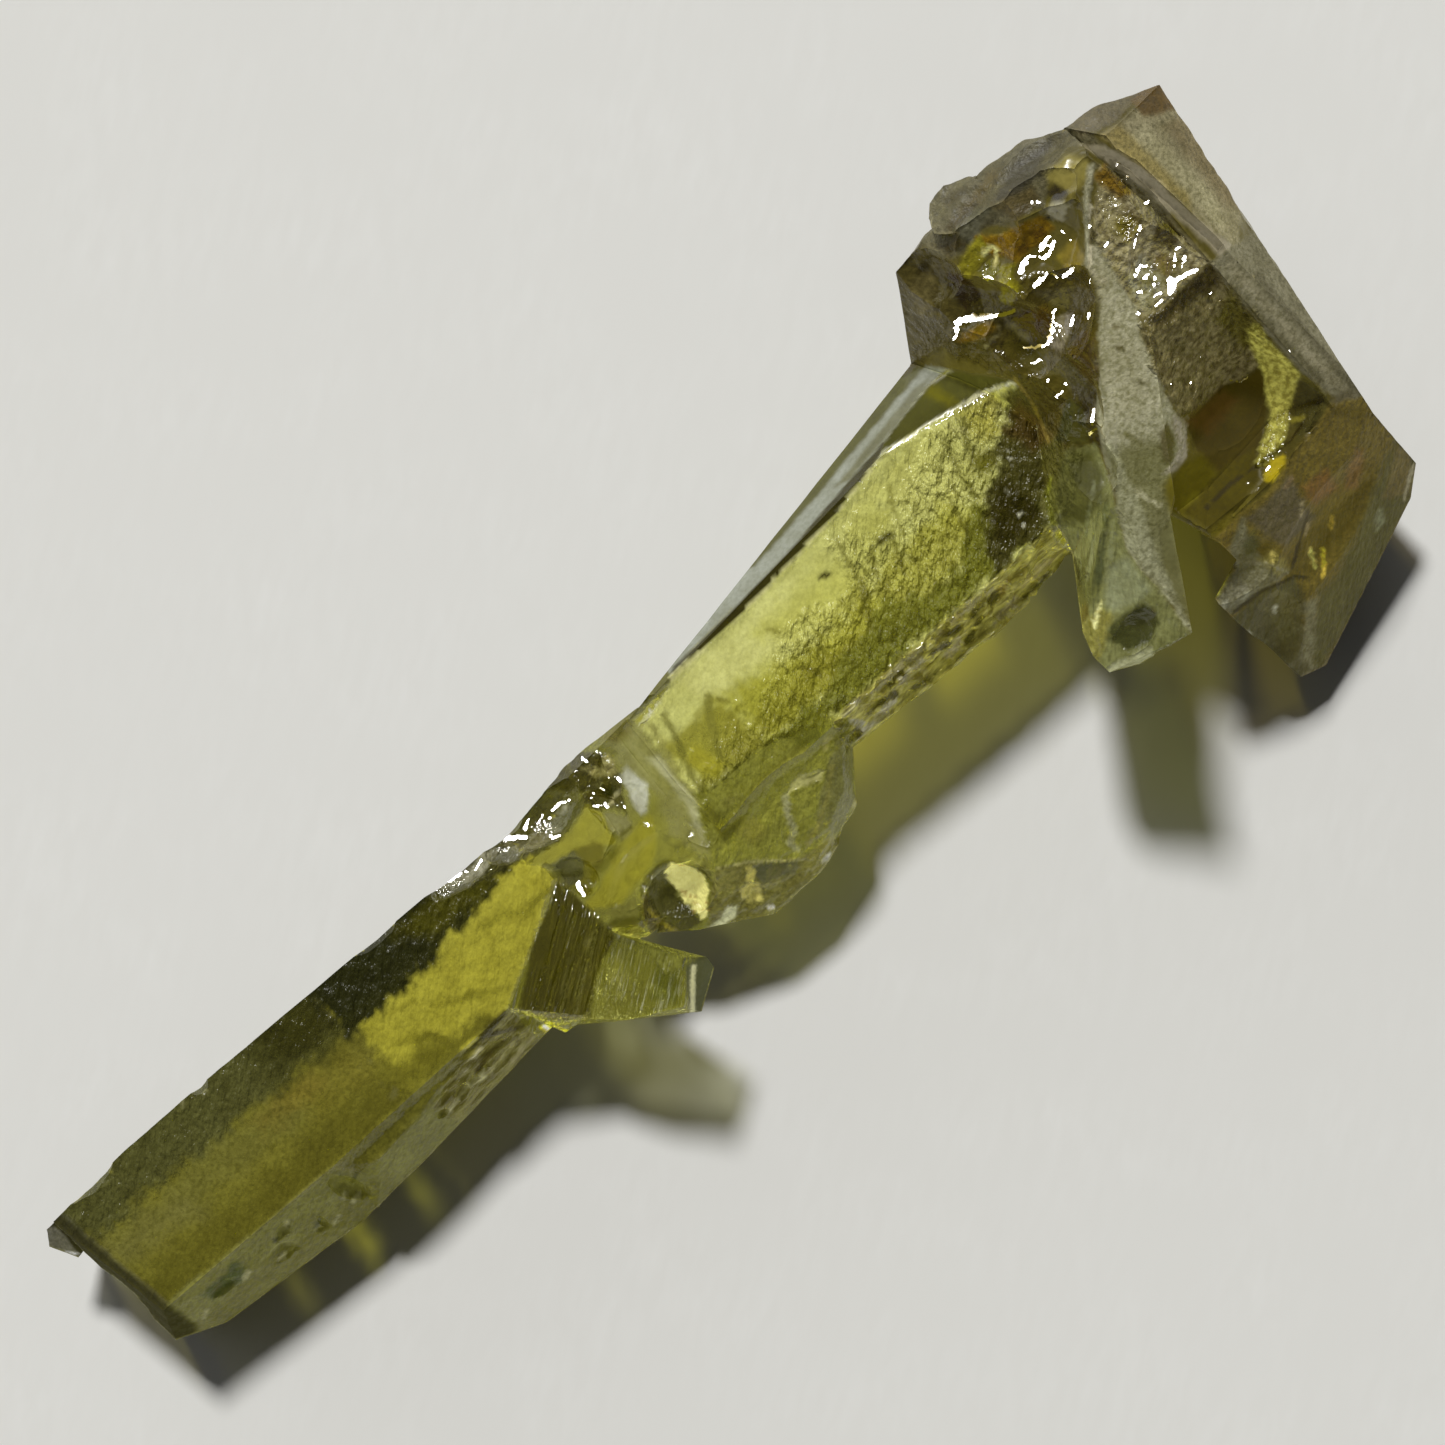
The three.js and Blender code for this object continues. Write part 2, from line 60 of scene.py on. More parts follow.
# ---- the eye and the lamp ----
FIELD_WIDTH = 45  # what the camera sees across, at TRUE_HEIGHT
SENSOR_WIDTH = 36
ROLL = -42  # degrees: the crystal climbs to the right across the picture
LAMP_WAY = (0.39, 0.92)  # where the lamp stands, seen from above
LAMP_ELEVATION = 45.5
LAMP_DISTANCE = 3300
LAMP_WIDTH = 519
LAMP_POWER = 115
LAMP_COLOUR = (1, 0.985, 0.95)
ROOM_COLOUR = (0.95, 0.96, 0.96, 1)
ROOM_LIGHT = 0.075
BAND_LIGHT = 1.7  # the bright low band on the lamp's side of the room
BAND_SIDE = (0.55, 0.85)  # how far round to the lamp's side the band begins and is full
BAND_TOP = (0.55, 0.3)  # how high up it ends and is full
ROOM_ON_MATT = 0.5  # how much of the room's light matt skins and the paper get
BACKDROP = 0.58  # how bright the plain wall behind the paper looks
FLOOR_SIZE = 5  # metres
PAPER_DARK, PAPER_LIGHT = (0.805, 0.808, 0.785, 1), (0.83, 0.835, 0.815, 1)
BLACK, WHITE = (0, 0, 0, 1), (1, 1, 1, 1)
MOST_BOUNCES = 20
MOST_MIRRORINGS = 10
MOST_LAYERS = 24  # how many clear skins lamp light may pass

# ---- the clear crystal ----
IOR = 2.01
FROST_IOR = 1.33
DEPTH_COLOUR = (0.93, 0.925, 0.03, 1)
DEPTH_DENSITY = 300
FACE_GRID_DEPTH = 9  # the remesh's grid is 2 to this power cells long
FACE_GRID_FILL = 0.9
MOST_FACES = 190000
SHARP_ANGLE = 34
SMOOTH_FOOT = 0.3  # skin has no grain under this height, in millimetres,
GRAIN_RISE = 0.4  # and its full grain this much higher
UPPER_SIDE = 0.1  # the upward turn from which skin keeps all its faces
UPPER_EDGE = 0.2
RIM_SHARE = 0.4  # how deep the chips along the belly's rim are, beside the others


def place(x, y, z):
    """A point of the crystal, in metres, from how it looks from above."""
    shrink = (EYE_HEIGHT - z) / (EYE_HEIGHT - TRUE_HEIGHT)
    return Vector((x * shrink + MIDDLE[0], y * shrink + MIDDLE[1], z)) * MM


def way_to_lamp():
    elevation = math.radians(LAMP_ELEVATION)
    way = Vector((*LAMP_WAY, 0)).normalized() * math.cos(elevation)
    way.z = math.sin(elevation)
    return way


def smooth(way):
    way = np.clip(way, 0, 1)
    return way * way * (3 - 2 * way)


class Zone:
    """A soft-edged ellipsoid of the crystal: its middle, half sizes in millimetres, its turn
    about Z in degrees and how soft its edge is, as a share of its size."""

    def __init__(self, middle, size, turn=0, edge=0.3):
        self.middle = place(*middle)
        self.size = Vector(size) * MM
        self.turn = math.radians(turn)
        self.edge = edge

    def weights(self, points):
        """How far inside the zone each point is, from 0 to 1."""
        offset = points - np.array(self.middle)
        c, s = math.cos(self.turn), math.sin(self.turn)
        along = offset[:, 0] * c + offset[:, 1] * s
        across = offset[:, 1] * c - offset[:, 0] * s
        local = np.column_stack((along, across, offset[:, 2]))
        distance = np.linalg.norm(local / np.array(self.size), axis=1)
        return smooth((1 + self.edge - distance) / (2 * self.edge))


# ---- where the skin is rippled or chipped ----
FROSTED_ROD = Zone((-21.5, -0.6, 3.4), (7.6, 4.6, 4.5), 0, 0.12)
SHANK_FACE = Zone((6.2, 0, 5.6), (8.4, 2.3, 1.5), 3, 0.15)
SHANK_CHIPS = Zone((7, -3, 4.4), (5.2, 0.95, 1.5), -1, 0.2)
ROD_CHIPS = Zone((-12.6, -3, 3.4), (2.3, 0.9, 1.4), 6, 0.25)
BELLY_RIM = Zone((-1.2, -4.8, 3), (3.6, 1.1, 1.6), -10, 0.25)
BRIDGE = Zone((-5.2, -0.3, 4.4), (3.2, 3.2, 1.6), 0, 0.2)
HEAD = Zone((17.8, 2.8, 8.6), (5.6, 6.4, 4.6), 0, 0.15)
CREST = Zone((15.9, -1.2, 8.9), (1.35, 7, 3.2), -29, 0.14)
LOBE = Zone((17.6, -8.2, 4.4), (4.2, 3, 3.6), 12, 0.12)
LEDGE = Zone((21.6, 0.6, 9), (1, 7.6, 2.6), 8, 0.2)


# ---- meshes ----
def deselect_all():
    bpy.ops.object.select_all(action="DESELECT")


def make_active(piece):
    deselect_all()
    piece.select_set(True)
    bpy.context.view_layer.objects.active = piece


def apply_modifier(piece, kind, **settings):
    modifier = piece.modifiers.new(kind.lower(), kind)
    for name, value in settings.items():
        setattr(modifier, name, value)
    bpy.ops.object.modifier_apply(modifier=modifier.name)


def merged_copy(node, name):
    """A copy of a CAD node with its loose triangles merged to one skin."""
    make_active(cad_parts[node])
    bpy.ops.object.duplicate()
    piece = bpy.context.object
    piece.name = name
    bpy.ops.object.mode_set(mode="EDIT")
    bpy.ops.mesh.select_all(action="SELECT")
    bpy.ops.mesh.remove_doubles(threshold=1e-6)
    bpy.ops.object.mode_set(mode="OBJECT")
    return piece


def coordinates(mesh, source="vertices", field="co"):
    values = np.empty(len(mesh.vertices) * 3)
    getattr(mesh, source).foreach_get(field, values)
    return values.reshape(-1, 3)


def set_group(piece, name, weights):
    """A vertex group with a weight for every point, in steps of a hundredth."""
    group = piece.vertex_groups.new(name=name)
    steps = np.round(weights * 100).astype(int)
    for step in np.unique(steps[steps > 0]):
        group.add(np.nonzero(steps == step)[0].tolist(), step / 100, "REPLACE")


def frozen_grain(kind, size, stretch=(1, 1, 1), turn=0, **settings):
    """A solid texture with grains of a size in millimetres, and the empty that turns it."""
    texture = bpy.data.textures.new("grain", kind)
    texture.noise_scale = 1
    for name, value in settings.items():
        setattr(texture, name, value)
    bpy.ops.object.empty_add(rotation=(0, 0, math.radians(turn)))
    guide = bpy.context.object
    guide.scale = Vector(stretch) * size * MM
    bpy.context.view_layer.update()
    return texture, guide


def raise_grain(piece, group, height, grain):
    """Pushes the group's points in and out by a texture, height in millimetres."""
    texture, guide = grain
    make_active(piece)
    apply_modifier(
        piece, "DISPLACE", texture=texture, texture_coords="OBJECT", texture_coords_object=guide,
        vertex_group=group, strength=height * MM, mid_level=0.5,
    )
    bpy.data.objects.remove(guide)


def crystal_piece():
    piece = merged_copy("crystal", "crystal_body")
    grid = {"octree_depth": FACE_GRID_DEPTH, "scale": FACE_GRID_FILL}
    apply_modifier(piece, "REMESH", mode="SHARP", sharpness=1, **grid)
    points = coordinates(piece.data)

    def cover(*zones):
        return np.max([zone.weights(points) for zone in zones], axis=0)

    set_group(piece, "all", smooth((points[:, 2] / MM - SMOOTH_FOOT) / GRAIN_RISE))
    set_group(piece, "chips", cover(SHANK_CHIPS, ROD_CHIPS) + RIM_SHARE * cover(BELLY_RIM))
    set_group(piece, "face", cover(SHANK_FACE))
    set_group(piece, "head", cover(HEAD, BRIDGE) * (1 - cover(CREST)))
    set_group(piece, "frosted", cover(FROSTED_ROD, LOBE, CREST, LEDGE))

    raise_grain(piece, "all", 0.03, frozen_grain("CLOUDS", 1.6, noise_depth=1))
    raise_grain(piece, "face", 0.1, frozen_grain("CLOUDS", 0.4, (2, 1, 1), 56, noise_depth=2))
    raise_grain(piece, "head", 0.2, frozen_grain("CLOUDS", 0.9, noise_depth=2))
    flakes = frozen_grain("VORONOI", 0.34, (3.2, 1, 1), -3, distance_metric="DISTANCE")
    raise_grain(piece, "chips", 0.26, flakes)
    raise_grain(piece, "frosted", 0.04, frozen_grain("CLOUDS", 0.6, noise_depth=2))

    # The upper side keeps all its faces, so that the paint on it stays sharp.
    upward = coordinates(piece.data, "vertex_normals", "vector")[:, 2]
    set_group(piece, "thinned", smooth((UPPER_SIDE - upward) / UPPER_EDGE))
    triangles = len(piece.data.polygons) * 2
    share = min(1, MOST_FACES / triangles)
    apply_modifier(
        piece, "DECIMATE", ratio=share, vertex_group="thinned", vertex_group_factor=1
    )
    piece.vertex_groups.clear()
    bpy.ops.object.shade_smooth_by_angle(angle=math.radians(SHARP_ANGLE))
    return piece


# ---- the paint ----
COLOUR, NUMBER = 3, 1  # how many values a layer has at each point
LAYERS = {
    "tint": COLOUR,  # what the glass keeps of the light it lets through
    "rough": NUMBER,
    "frost": COLOUR,  # what frosted skin keeps of the light it sends back
    "frosting": NUMBER,  # how much of the skin is frosted over
    "glow": NUMBER,  # painted glow: light that frosted skin gives off where lamp light is missing
    "let_in": COLOUR,  # what lamp light keeps where it enters the skin
    "pebbled": NUMBER,
    "gritty": NUMBER,
    "broken": NUMBER,
    "flaked": NUMBER,
    "spur_ribs": NUMBER,
    "head_ribs": NUMBER,
    "glint": NUMBER,  # painted highlights: facets turned to throw the lamp's light straight up
    "facet": COLOUR,  # which way those painted facets face: halfway between the eye and the lamp
}
BARE = {"tint": (1, 1, 1), "rough": 0.015, "frost": (0.5, 0.5, 0.4), "let_in": (1, 1, 1)}
LAMP_SHADE = (0.094, 0.088, 0.042)  # what the sides turned away from the lamp let in
LAMP_SIDE = -0.15  # how far skin faces the lamp's side where that shade begins,
LAMP_SIDE_EDGE = 0.45  # and how much further away it turns where the shade is full
FROM_ABOVE = 0.12  # the least upward turn of a skin that is painted from above
ABOVE_EDGE = 0.15
HEIGHT_EDGE = 1.2  # how softly paint ends at a height, in millimetres
OUT_OF_SIGHT = 0.07  # the turn to an eye above from which skin can be seen
SIGHT_EDGE = 0.12
RAGS = ((0.9, 0.7), (0.25, 0.6))  # what frays edges: waves of a size in millimetres and a share
GLINT_ROUGH = 0.2
GLINT_SHARE = 0.85  # how much of a glint's width shines
FROST_RANGE = (0.004, 0.95)
EVENNESS = 0.7  # how far frost's colour is painted lighter away from the lamp, darker facing it
EVEN_RANGE = (0.6, 1.35)
# how much painted glow frosted skin gets as it turns from the lamp
GLOW_WHERE_DIM = 0.4
LAMP_ON_WHITE = 0.875  # how bright a flat white skin shows
ROOM_SHEEN = 0.005  # what the room's reflection adds to it


def shown(red, green, blue):
    """What frosted skin keeps of each colour, so that lamp light shows it as a screen colour."""
    linear = ((np.array((red, green, blue)) / 255 + 0.055) / 1.055) ** 2.4  # undoes sRGB's curve
    return np.clip(linear / LAMP_ON_WHITE - ROOM_SHEEN, *FROST_RANGE)


class Coat:
    """The paint on a piece's skin: a value of every layer for every point. Outlines and routes
    are rows of x, y, x, y and so on, in millimetres as seen from above."""

    def __init__(self, piece):
        self.mesh = piece.data
        points = coordinates(self.mesh)
        self.normals = coordinates(self.mesh, "vertex_normals", "vector")
        self.height = points[:, 2] / MM
        grow = (EYE_HEIGHT - TRUE_HEIGHT) / (EYE_HEIGHT - self.height)
        self.seen = (points[:, :2] / MM - MIDDLE) * grow[:, None]
        self.rag = sum(self.noise(points, size) * share for size, share in RAGS)
        self.values = {
            name: np.zeros((len(points), size)) + BARE.get(name, 0)
            for name, size in LAYERS.items()
        }
        up = np.array((*MIDDLE, EYE_HEIGHT)) * MM - points
        up /= np.linalg.norm(up, axis=1)[:, None]
        facets = up + np.array(way_to_lamp())
        facets /= np.linalg.norm(facets, axis=1)[:, None]
        self.values["facet"] = facets / 2 + 0.5
        turn = np.sum(self.normals * up, axis=1)
        self.hidden = smooth((OUT_OF_SIGHT - turn) / SIGHT_EDGE)

    @staticmethod
    def noise(points, size):
        return np.array([noise.noise(point) for point in points / (size * MM)])

    def depth_in(self, outline):
        """How far inside a closed outline each point is, in millimetres, below 0 outside."""
        corners = np.array(outline, dtype=float).reshape(-1, 2)
        nearest = np.full(len(self.seen), np.inf)
        inside = np.zeros(len(self.seen), dtype=bool)
        for start, end in zip(corners, np.roll(corners, -1, axis=0)):
            nearest = np.minimum(nearest, self.distance(start, end))
            crosses = (start[1] > self.seen[:, 1]) != (end[1] > self.seen[:, 1])
            rise = end[1] - start[1] or 1.0
            reach = start[0] + (self.seen[:, 1] - start[1]) * (end[0] - start[0]) / rise
            inside ^= crosses & (self.seen[:, 0] < reach)
        return np.where(inside, nearest, -nearest)

    def distance(self, start, end):
        """Distance of each point from the straight line between two places."""
        way = end - start
        share = np.clip((self.seen - start) @ way / (way @ way), 0, 1)
        return np.linalg.norm(self.seen - start - share[:, None] * way, axis=1)

    def lay(self, mask, colour=None, shade=None, **layers):
        """Puts values of layers on by a mask. A colour is the frost's, as a screen shows it; a
        shade dims what tint and frost there are."""
        mask = mask[:, None]
        if colour is not None:
            layers["frost"] = shown(*colour)
        for name, value in layers.items():
            values = self.values[name]
            values += (np.array(value) - values) * mask
        if shade is not None:
            for name in ("tint", "frost"):
                self.values[name] *= 1 + (np.array(shade) - 1) * mask

    def facing(self, above):
        """What turns upward at least that much, or all sides where it is None."""
        return 1 if above is None else smooth((self.normals[:, 2] - above) / ABOVE_EDGE + 0.5)

    def patch(
        self, outline, soft=0.12, rag=0.08, above=FROM_ABOVE, strength=1, under=None, **layers
    ):
        """Paints inside an outline, with a soft and ragged edge in millimetres, and only under a
        height if one is given."""
        mask = smooth((self.depth_in(outline) + rag * self.rag) / soft + 0.5) * strength
        mask = mask * self.facing(above)
        if under is not None:
            mask *= smooth((under - self.height) / HEIGHT_EDGE + 0.5)
        self.lay(mask, **layers)

    def line(self, route, width=0.12, rag=0.03, strength=1, above=FROM_ABOVE, **layers):
        """Paints a line of a width along a route."""
        route = np.array(route, dtype=float).reshape(-1, 2)
        away = np.min([self.distance(*ends) for ends in zip(route[:-1], route[1:])], axis=0)
        mask = smooth((width / 2 - away + rag * self.rag) / (width / 2) + 0.5)
        self.lay(mask * self.facing(above) * strength, **layers)

    def glint(self, route, width=0.16, rag=0.04, strength=1):
        """Paints highlights: small facets along a route that throw the lamp's light to the eye."""
        self.line(route, width * GLINT_SHARE, rag, strength, glint=1, rough=GLINT_ROUGH)

    def paint_light_on_unlit_frost(self):
        """Paints frosted skin lighter, and gives it a painted glow, where it turns from the lamp.
        """
        lamp = way_to_lamp()
        lit = self.normals @ np.array(lamp) / lamp.z
        self.values["frost"] /= np.clip(lit, *EVEN_RANGE)[:, None] ** EVENNESS
        glow = self.values["glow"][:, 0]
        glow[:] = np.maximum(glow, GLOW_WHERE_DIM * np.clip(1 - lit, 0, 1))

    def keep(self):
        """Stores the layers on the mesh."""
        self.paint_light_on_unlit_frost()
        for name, size in LAYERS.items():
            values = np.clip(self.values[name], 0, 1)
            kind, field = "FLOAT", "value"
            if size == COLOUR:
                kind, field = "FLOAT_COLOR", "color"
                values = np.column_stack((values, np.ones(len(values))))
            layer = self.mesh.attributes.new(name, kind, "POINT")
            layer.data.foreach_set(field, values.ravel())


# ---- what is painted where ----
# Each part is painted from its broad areas to its small marks, one over another. After an
# outline come how soft and how ragged its edge is; after a route, how wide the line is.
def paint_far_sides(coat):
    """The sides that cannot be seen from above: the same skins, with no marks of their own."""
    rod_ends, head_starts = -7, 12
    along = coat.seen[:, 0] + 0.8 * coat.rag
    rod = coat.hidden * smooth((rod_ends - along) / 2 + 0.5)
    head = coat.hidden * smooth((along - head_starts) / 1.2 + 0.5)
    # These skins get a faint painted glow.
    coat.lay(
        coat.hidden - rod - head, tint=(0.66, 0.64, 0.36), rough=0.06, colour=(136, 134, 70),
        frosting=0.4, pebbled=0.5, gritty=0.2, broken=0.1, flaked=0.15, glow=0.1,
    )
    coat.lay(
        rod, tint=(0.44, 0.42, 0.16), rough=0.12, colour=(112, 109, 52), frosting=0.65,
        pebbled=0.3, gritty=0.7, broken=0, flaked=0.15, glow=0.1,
    )
    coat.lay(
        head, tint=(0.3, 0.25, 0.12), rough=0.3, colour=(110, 102, 68), frosting=0.9, pebbled=0.3,
        gritty=0.9, broken=0.3, head_ribs=0.3, flaked=0, glow=0.15,
    )
    for depth, colour, strength in ((0.1, (88, 80, 46), 0.6), (0.45, (132, 126, 92), 0.5)):
        mottled = head * smooth((coat.rag - depth) / 0.5 + 0.5) * strength
        coat.lay(mottled, colour=colour)


def paint_lamp_sides(coat):
    """The sides turned away from the lamp let little light in, so the crystal throws a shadow."""
    away = smooth((LAMP_SIDE - coat.normals[:, 1]) / LAMP_SIDE_EDGE)[:, None]
    coat.values["let_in"] *= 1 + (np.array(LAMP_SHADE) - 1) * away
    # Rows let more lamp light through at places, painting lighter, tinted spots into the shadow.
    for under, colour, *outline in (
        (30, (0.17, 0.16, 0.085), 1.4, -1, 10.8, -1, 10.8, -4.4, 1.4, -4.4),
        (30, (0.12, 0.12, 0.06), -3.4, -3.2, 2.2, -2.6, 2.2, -6.4, -3.4, -6.4),
        (3.4, (0.17, 0.16, 0.055), 1.4, -1, 10.8, -1, 10.8, -4.4, 1.4, -4.4),
        (2, (0.42, 0.38, 0.08), 2.6, -1, 5, -1, 5, -4.4, 2.6, -4.4),
        (2.2, (0.46, 0.42, 0.085), 6.4, -1, 9.2, -1, 9.2, -4.4, 6.4, -4.4),
        (3.4, (0.19, 0.18, 0.08), -9, -3.4, -5.6, -4, -6, -6.8, -9.2, -5.6),
        (30, (0.04, 0.038, 0.015), -12.4, -1.4, -9.2, -0.8, -9, -4.8, -12.4, -4.6),
        (30, (0.12, 0.12, 0.085), 9.2, -4.2, 13.6, -3.6, 13.2, -8.4, 9.2, -8),
        (4.2, (0.2, 0.2, 0.09), 9.2, -4.2, 13.6, -3.6, 13.2, -8.4, 9.2, -8),
        (30, (0.16, 0.145, 0.06), 13.4, -0.5, 17.8, -0.5, 17.8, -5.2, 13.4, -5.6),
        (1.9, (0.4, 0.38, 0.07), -19, -2.6, -18.6, -2.6, -18.6, -4.6, -19, -4.6),
        (1.9, (0.26, 0.25, 0.07), -16.6, -2.8, -16.3, -2.8, -16.3, -4.6, -16.6, -4.6),
        (1.8, (0.15, 0.14, 0.05), -21.6, -2.6, -21.2, -2.6, -21.2, -4.6, -21.6, -4.6),
        (1.8, (0.22, 0.2, 0.05), -2.4, -4, -1.8, -4, -1.8, -6.4, -2.4, -6.4),
    ):
        coat.patch(outline, 1, 0.3, None, 0.9, under, let_in=colour)


def paint_rod(coat):
    frosted = (
        -27.5, 3.6, -15.4, 3.6, -15, 1.2, -14.7, 0.2, -15.1, -0.7, -14.6, -1.8, -15.6, -2.7, -14.4,
        -5.2, -27.5, -5.2,
    )
    clear = (-15.2, 3.6, -7, 3.6, -7.1, -0.1, -10.9, -2.2, -10.4, -5, -15.2, -5)
    coat.patch(
        clear, above=None, tint=(0.8, 0.77, 0.32), rough=0.03, colour=(204, 197, 74), frosting=0.5,
        pebbled=0.25, let_in=(0.4, 0.38, 0.15),
    )
    coat.patch(
        frosted, 0.7, 0.9, None, tint=(0.52, 0.49, 0.17), rough=0.12, colour=(126, 122, 50),
        frosting=0.7, gritty=0.7, pebbled=0.15, let_in=(0.26, 0.25, 0.12),
    )
    for colour, strength, *outline in (
        ((125, 123, 62), 0.8, -25.6, 1, -20, 0.8, -15, 0.4, -15, -0.6, -20, -0.4, -25.4, 0),
        ((134, 126, 48), 0.7, -18, 0.8, -15.2, 0.6, -15, -1, -17.6, -0.8),
        ((138, 122, 52), 0.6, -19.2, 0.6, -16.8, 0.6, -16.8, 0, -19.2, 0),
        ((96, 92, 34), 0.8, -25.2, -0.9, -15, -1, -15, -2.6, -25.2, -2),
        ((126, 123, 68), 0.7, -25.4, 0.6, -22.6, 0.5, -22.4, -0.4, -25.2, -0.2),
    ):
        coat.patch(outline, 0.9, 0.5, strength=strength, colour=colour)
    coat.patch(
        (-15.2, -0.9, -12.6, -1.3, -11.6, -2.2, -15.2, -2.6), 0.5, 0.5, colour=(124, 120, 46),
        frosting=0.6,
    )
    # The bands along the upper edge are painted dark, adding painted shade to the dark reflection.
    left_band = (-26.6, 3, -15.5, 3, -14.8, 0.6, -17, 0.7, -20, 0.95, -25.4, 1.05, -25.8, 2)
    right_band = (-15.3, 3, -7.6, 3, -7.8, 1.1, -8.6, 1, -10, 0.7, -12, 0.5, -14, 0.35, -15.2, 0.6)
    coat.patch(
        left_band, 0.5, 0.45, colour=(92, 92, 50), frosting=0.85, tint=(0.2, 0.2, 0.12), rough=0.1,
        gritty=0.6, pebbled=0.35,
    )
    coat.patch((-18, 3, -14.8, 3, -14.8, 0.5, -17.4, 0.8), 1.6, 0.7, colour=(62, 61, 26))
    coat.patch(
        right_band, 0.3, 0.4, tint=(0.1, 0.1, 0.04), colour=(45, 46, 12), frosting=0.92,
        rough=0.22, pebbled=0.4,
    )
    coat.patch((-12.2, 2, -8, 2, -8.2, 1.2, -11, 0.9), 0.5, 0.3, colour=(78, 76, 22))
    for width, colour, *route in (
        (0.25, (116, 112, 36), -14.4, -0.6, -13.6, -0.9, -13, -1.5),
        (0.2, (120, 114, 36), -12.6, -0.5, -12, -0.9, -11.4, -1),
        (0.25, (112, 108, 34), -11.6, -1, -10.8, -1.5, -10.5, -1.7),
        (0.2, (124, 118, 36), -13.8, 0.2, -13, 0),
        (0.25, (122, 118, 36), -9.8, 0.3, -9, 0.1, -8.4, -0.4),
        (0.3, (104, 100, 36), -14, -1.5, -12.6, -2, -11.6, -1.9),
        (0.25, (96, 92, 26), -8.2, -0.2, -7.4, -0.3),
    ):
        coat.line(route, width, 0.1, strength=0.6, colour=colour, frosting=0.6)
    side = (
        -26, -1.9, -24, -1.85, -22, -2, -18.3, -2.2, -17.8, -2.8, -17, -2.95, -15.5, -2.75, -12.5,
        -2.2, -10.9, -2.1, -10.4, -5, -26, -5,
    )
    # The near side, and the broken edge below, get a painted glow.
    coat.patch(
        side, 0.1, 0.05, None, tint=(0.12, 0.12, 0.06), rough=0.3, colour=(114, 113, 54),
        frosting=0.94, gritty=0.7, pebbled=0.15, glow=0.25,
    )
    coat.patch(
        (-26, -2.9, -18, -3.2, -17, -3.2, -17, -5, -26, -5), 0.4, 0.3, None, colour=(104, 102, 42),
    )
    coat.patch((-24, -2.4, -22.6, -2.4, -22.6, -2.8, -23.8, -2.8), 0.3, 0.3, colour=(72, 80, 36))
    ridge = (
        -25.2, -2, -24, -1.85, -23, -2.05, -20, -2.1, -18.3, -2.2, -17.8, -2.8, -17, -2.95, -15.5,
        -2.75, -14, -2.6,
    )
    coat.line(ridge, 0.12, strength=0.6, colour=(122, 120, 66), frosting=0.7)
    pale, dark = (152, 150, 104), (74, 76, 34)
    for x, y, length, colour in (
        (-23.6, -2.6, 0.25, dark), (-20.7, -2.6, 0.2, pale), (-18.3, -2.5, 0.25, dark),
        (-18.5, -3.4, 0.3, pale), (-24.4, -2.95, 0.2, pale), (-22.6, -2.9, 0.15, pale),
        (-19.4, -3.5, 0.25, pale), (-21.4, -3.2, 0.15, pale), (-19.8, 2.2, 0.15, pale),
        (-21.2, -2.7, 0.15, dark), (-19.9, -3.2, 0.2, dark), (-18.1, -2.9, 0.3, dark),
        (-18.7, -3.1, 0.15, pale), (-20.5, 2.42, 0.1, pale),
    ):
        coat.line((x, y, x + length, y + length / 3), 0.13, 0.08, colour=colour, frosting=0.8)
    broken_edge = (-14.7, -2.9, -12.9, -2.3, -10.9, -2.15, -10.5, -3.5, -14.4, -3.8)
    coat.patch(
        broken_edge, 0.2, 0.2, None, tint=(0.2, 0.2, 0.1), rough=0.15, colour=(124, 120, 62),
        frosting=0.88, flaked=0.8, gritty=0, glow=0.3,
    )
    for colour, *route in (
        ((172, 170, 122), -14.4, -3.3, -13.6, -3.1, -12.9, -3.2),
        ((188, 184, 140), -13.2, -2.7, -12.4, -2.5),
        ((150, 146, 92), -12.6, -3.2, -11.6, -3.1),
        ((70, 64, 34), -11.9, -2.4, -11.1, -2.8),
        ((62, 58, 28), -13, -2.35, -11, -2.15),
        ((158, 152, 104), -11.9, -3.45, -11, -3.35),
        ((92, 84, 40), -12.9, -2.9, -11.6, -2.75),
    ):
        coat.line(route, 0.13, 0.12, colour=colour, frosting=0.8)
    slot = (-18.2, -2.2, -13, -2.05, -12.6, -2.4, -15.5, -2.85, -17.8, -2.9)
    coat.patch(slot, 0.3, 0.1, None, tint=(0.1, 0.1, 0.04), colour=(102, 99, 38), frosting=0.85)
    end = (-27, 3, -25.6, 3, -25.2, 0, -24.95, -2, -24.7, -3, -25.4, -3.6, -27, -3)
    coat.patch(
        end, 0.3, 0.1, None, tint=(0.1, 0.1, 0.05), colour=(58, 56, 28), frosting=1, rough=1,
        let_in=(0.1, 0.09, 0.06),
    )
    chip = (-26.7, 2.4, -26.1, 2.5, -25.9, 2, -26, 1.1, -26.7, 1.1)
    coat.patch(chip, 0.1, 0.05, None, colour=(112, 110, 96), frosting=0.7, let_in=(0.1, 0.1, 0.1))
    # A painted highlight on the broken chip.
    coat.line((-26.25, 1.4, -26.05, 1.1), 0.15, colour=(226, 226, 214), frosting=0.9)
    coat.line(
        (-26, 1, -25.8, 0.2, -25.75, -0.4), 0.12, above=None, colour=(70, 68, 46), frosting=0.8,
    )


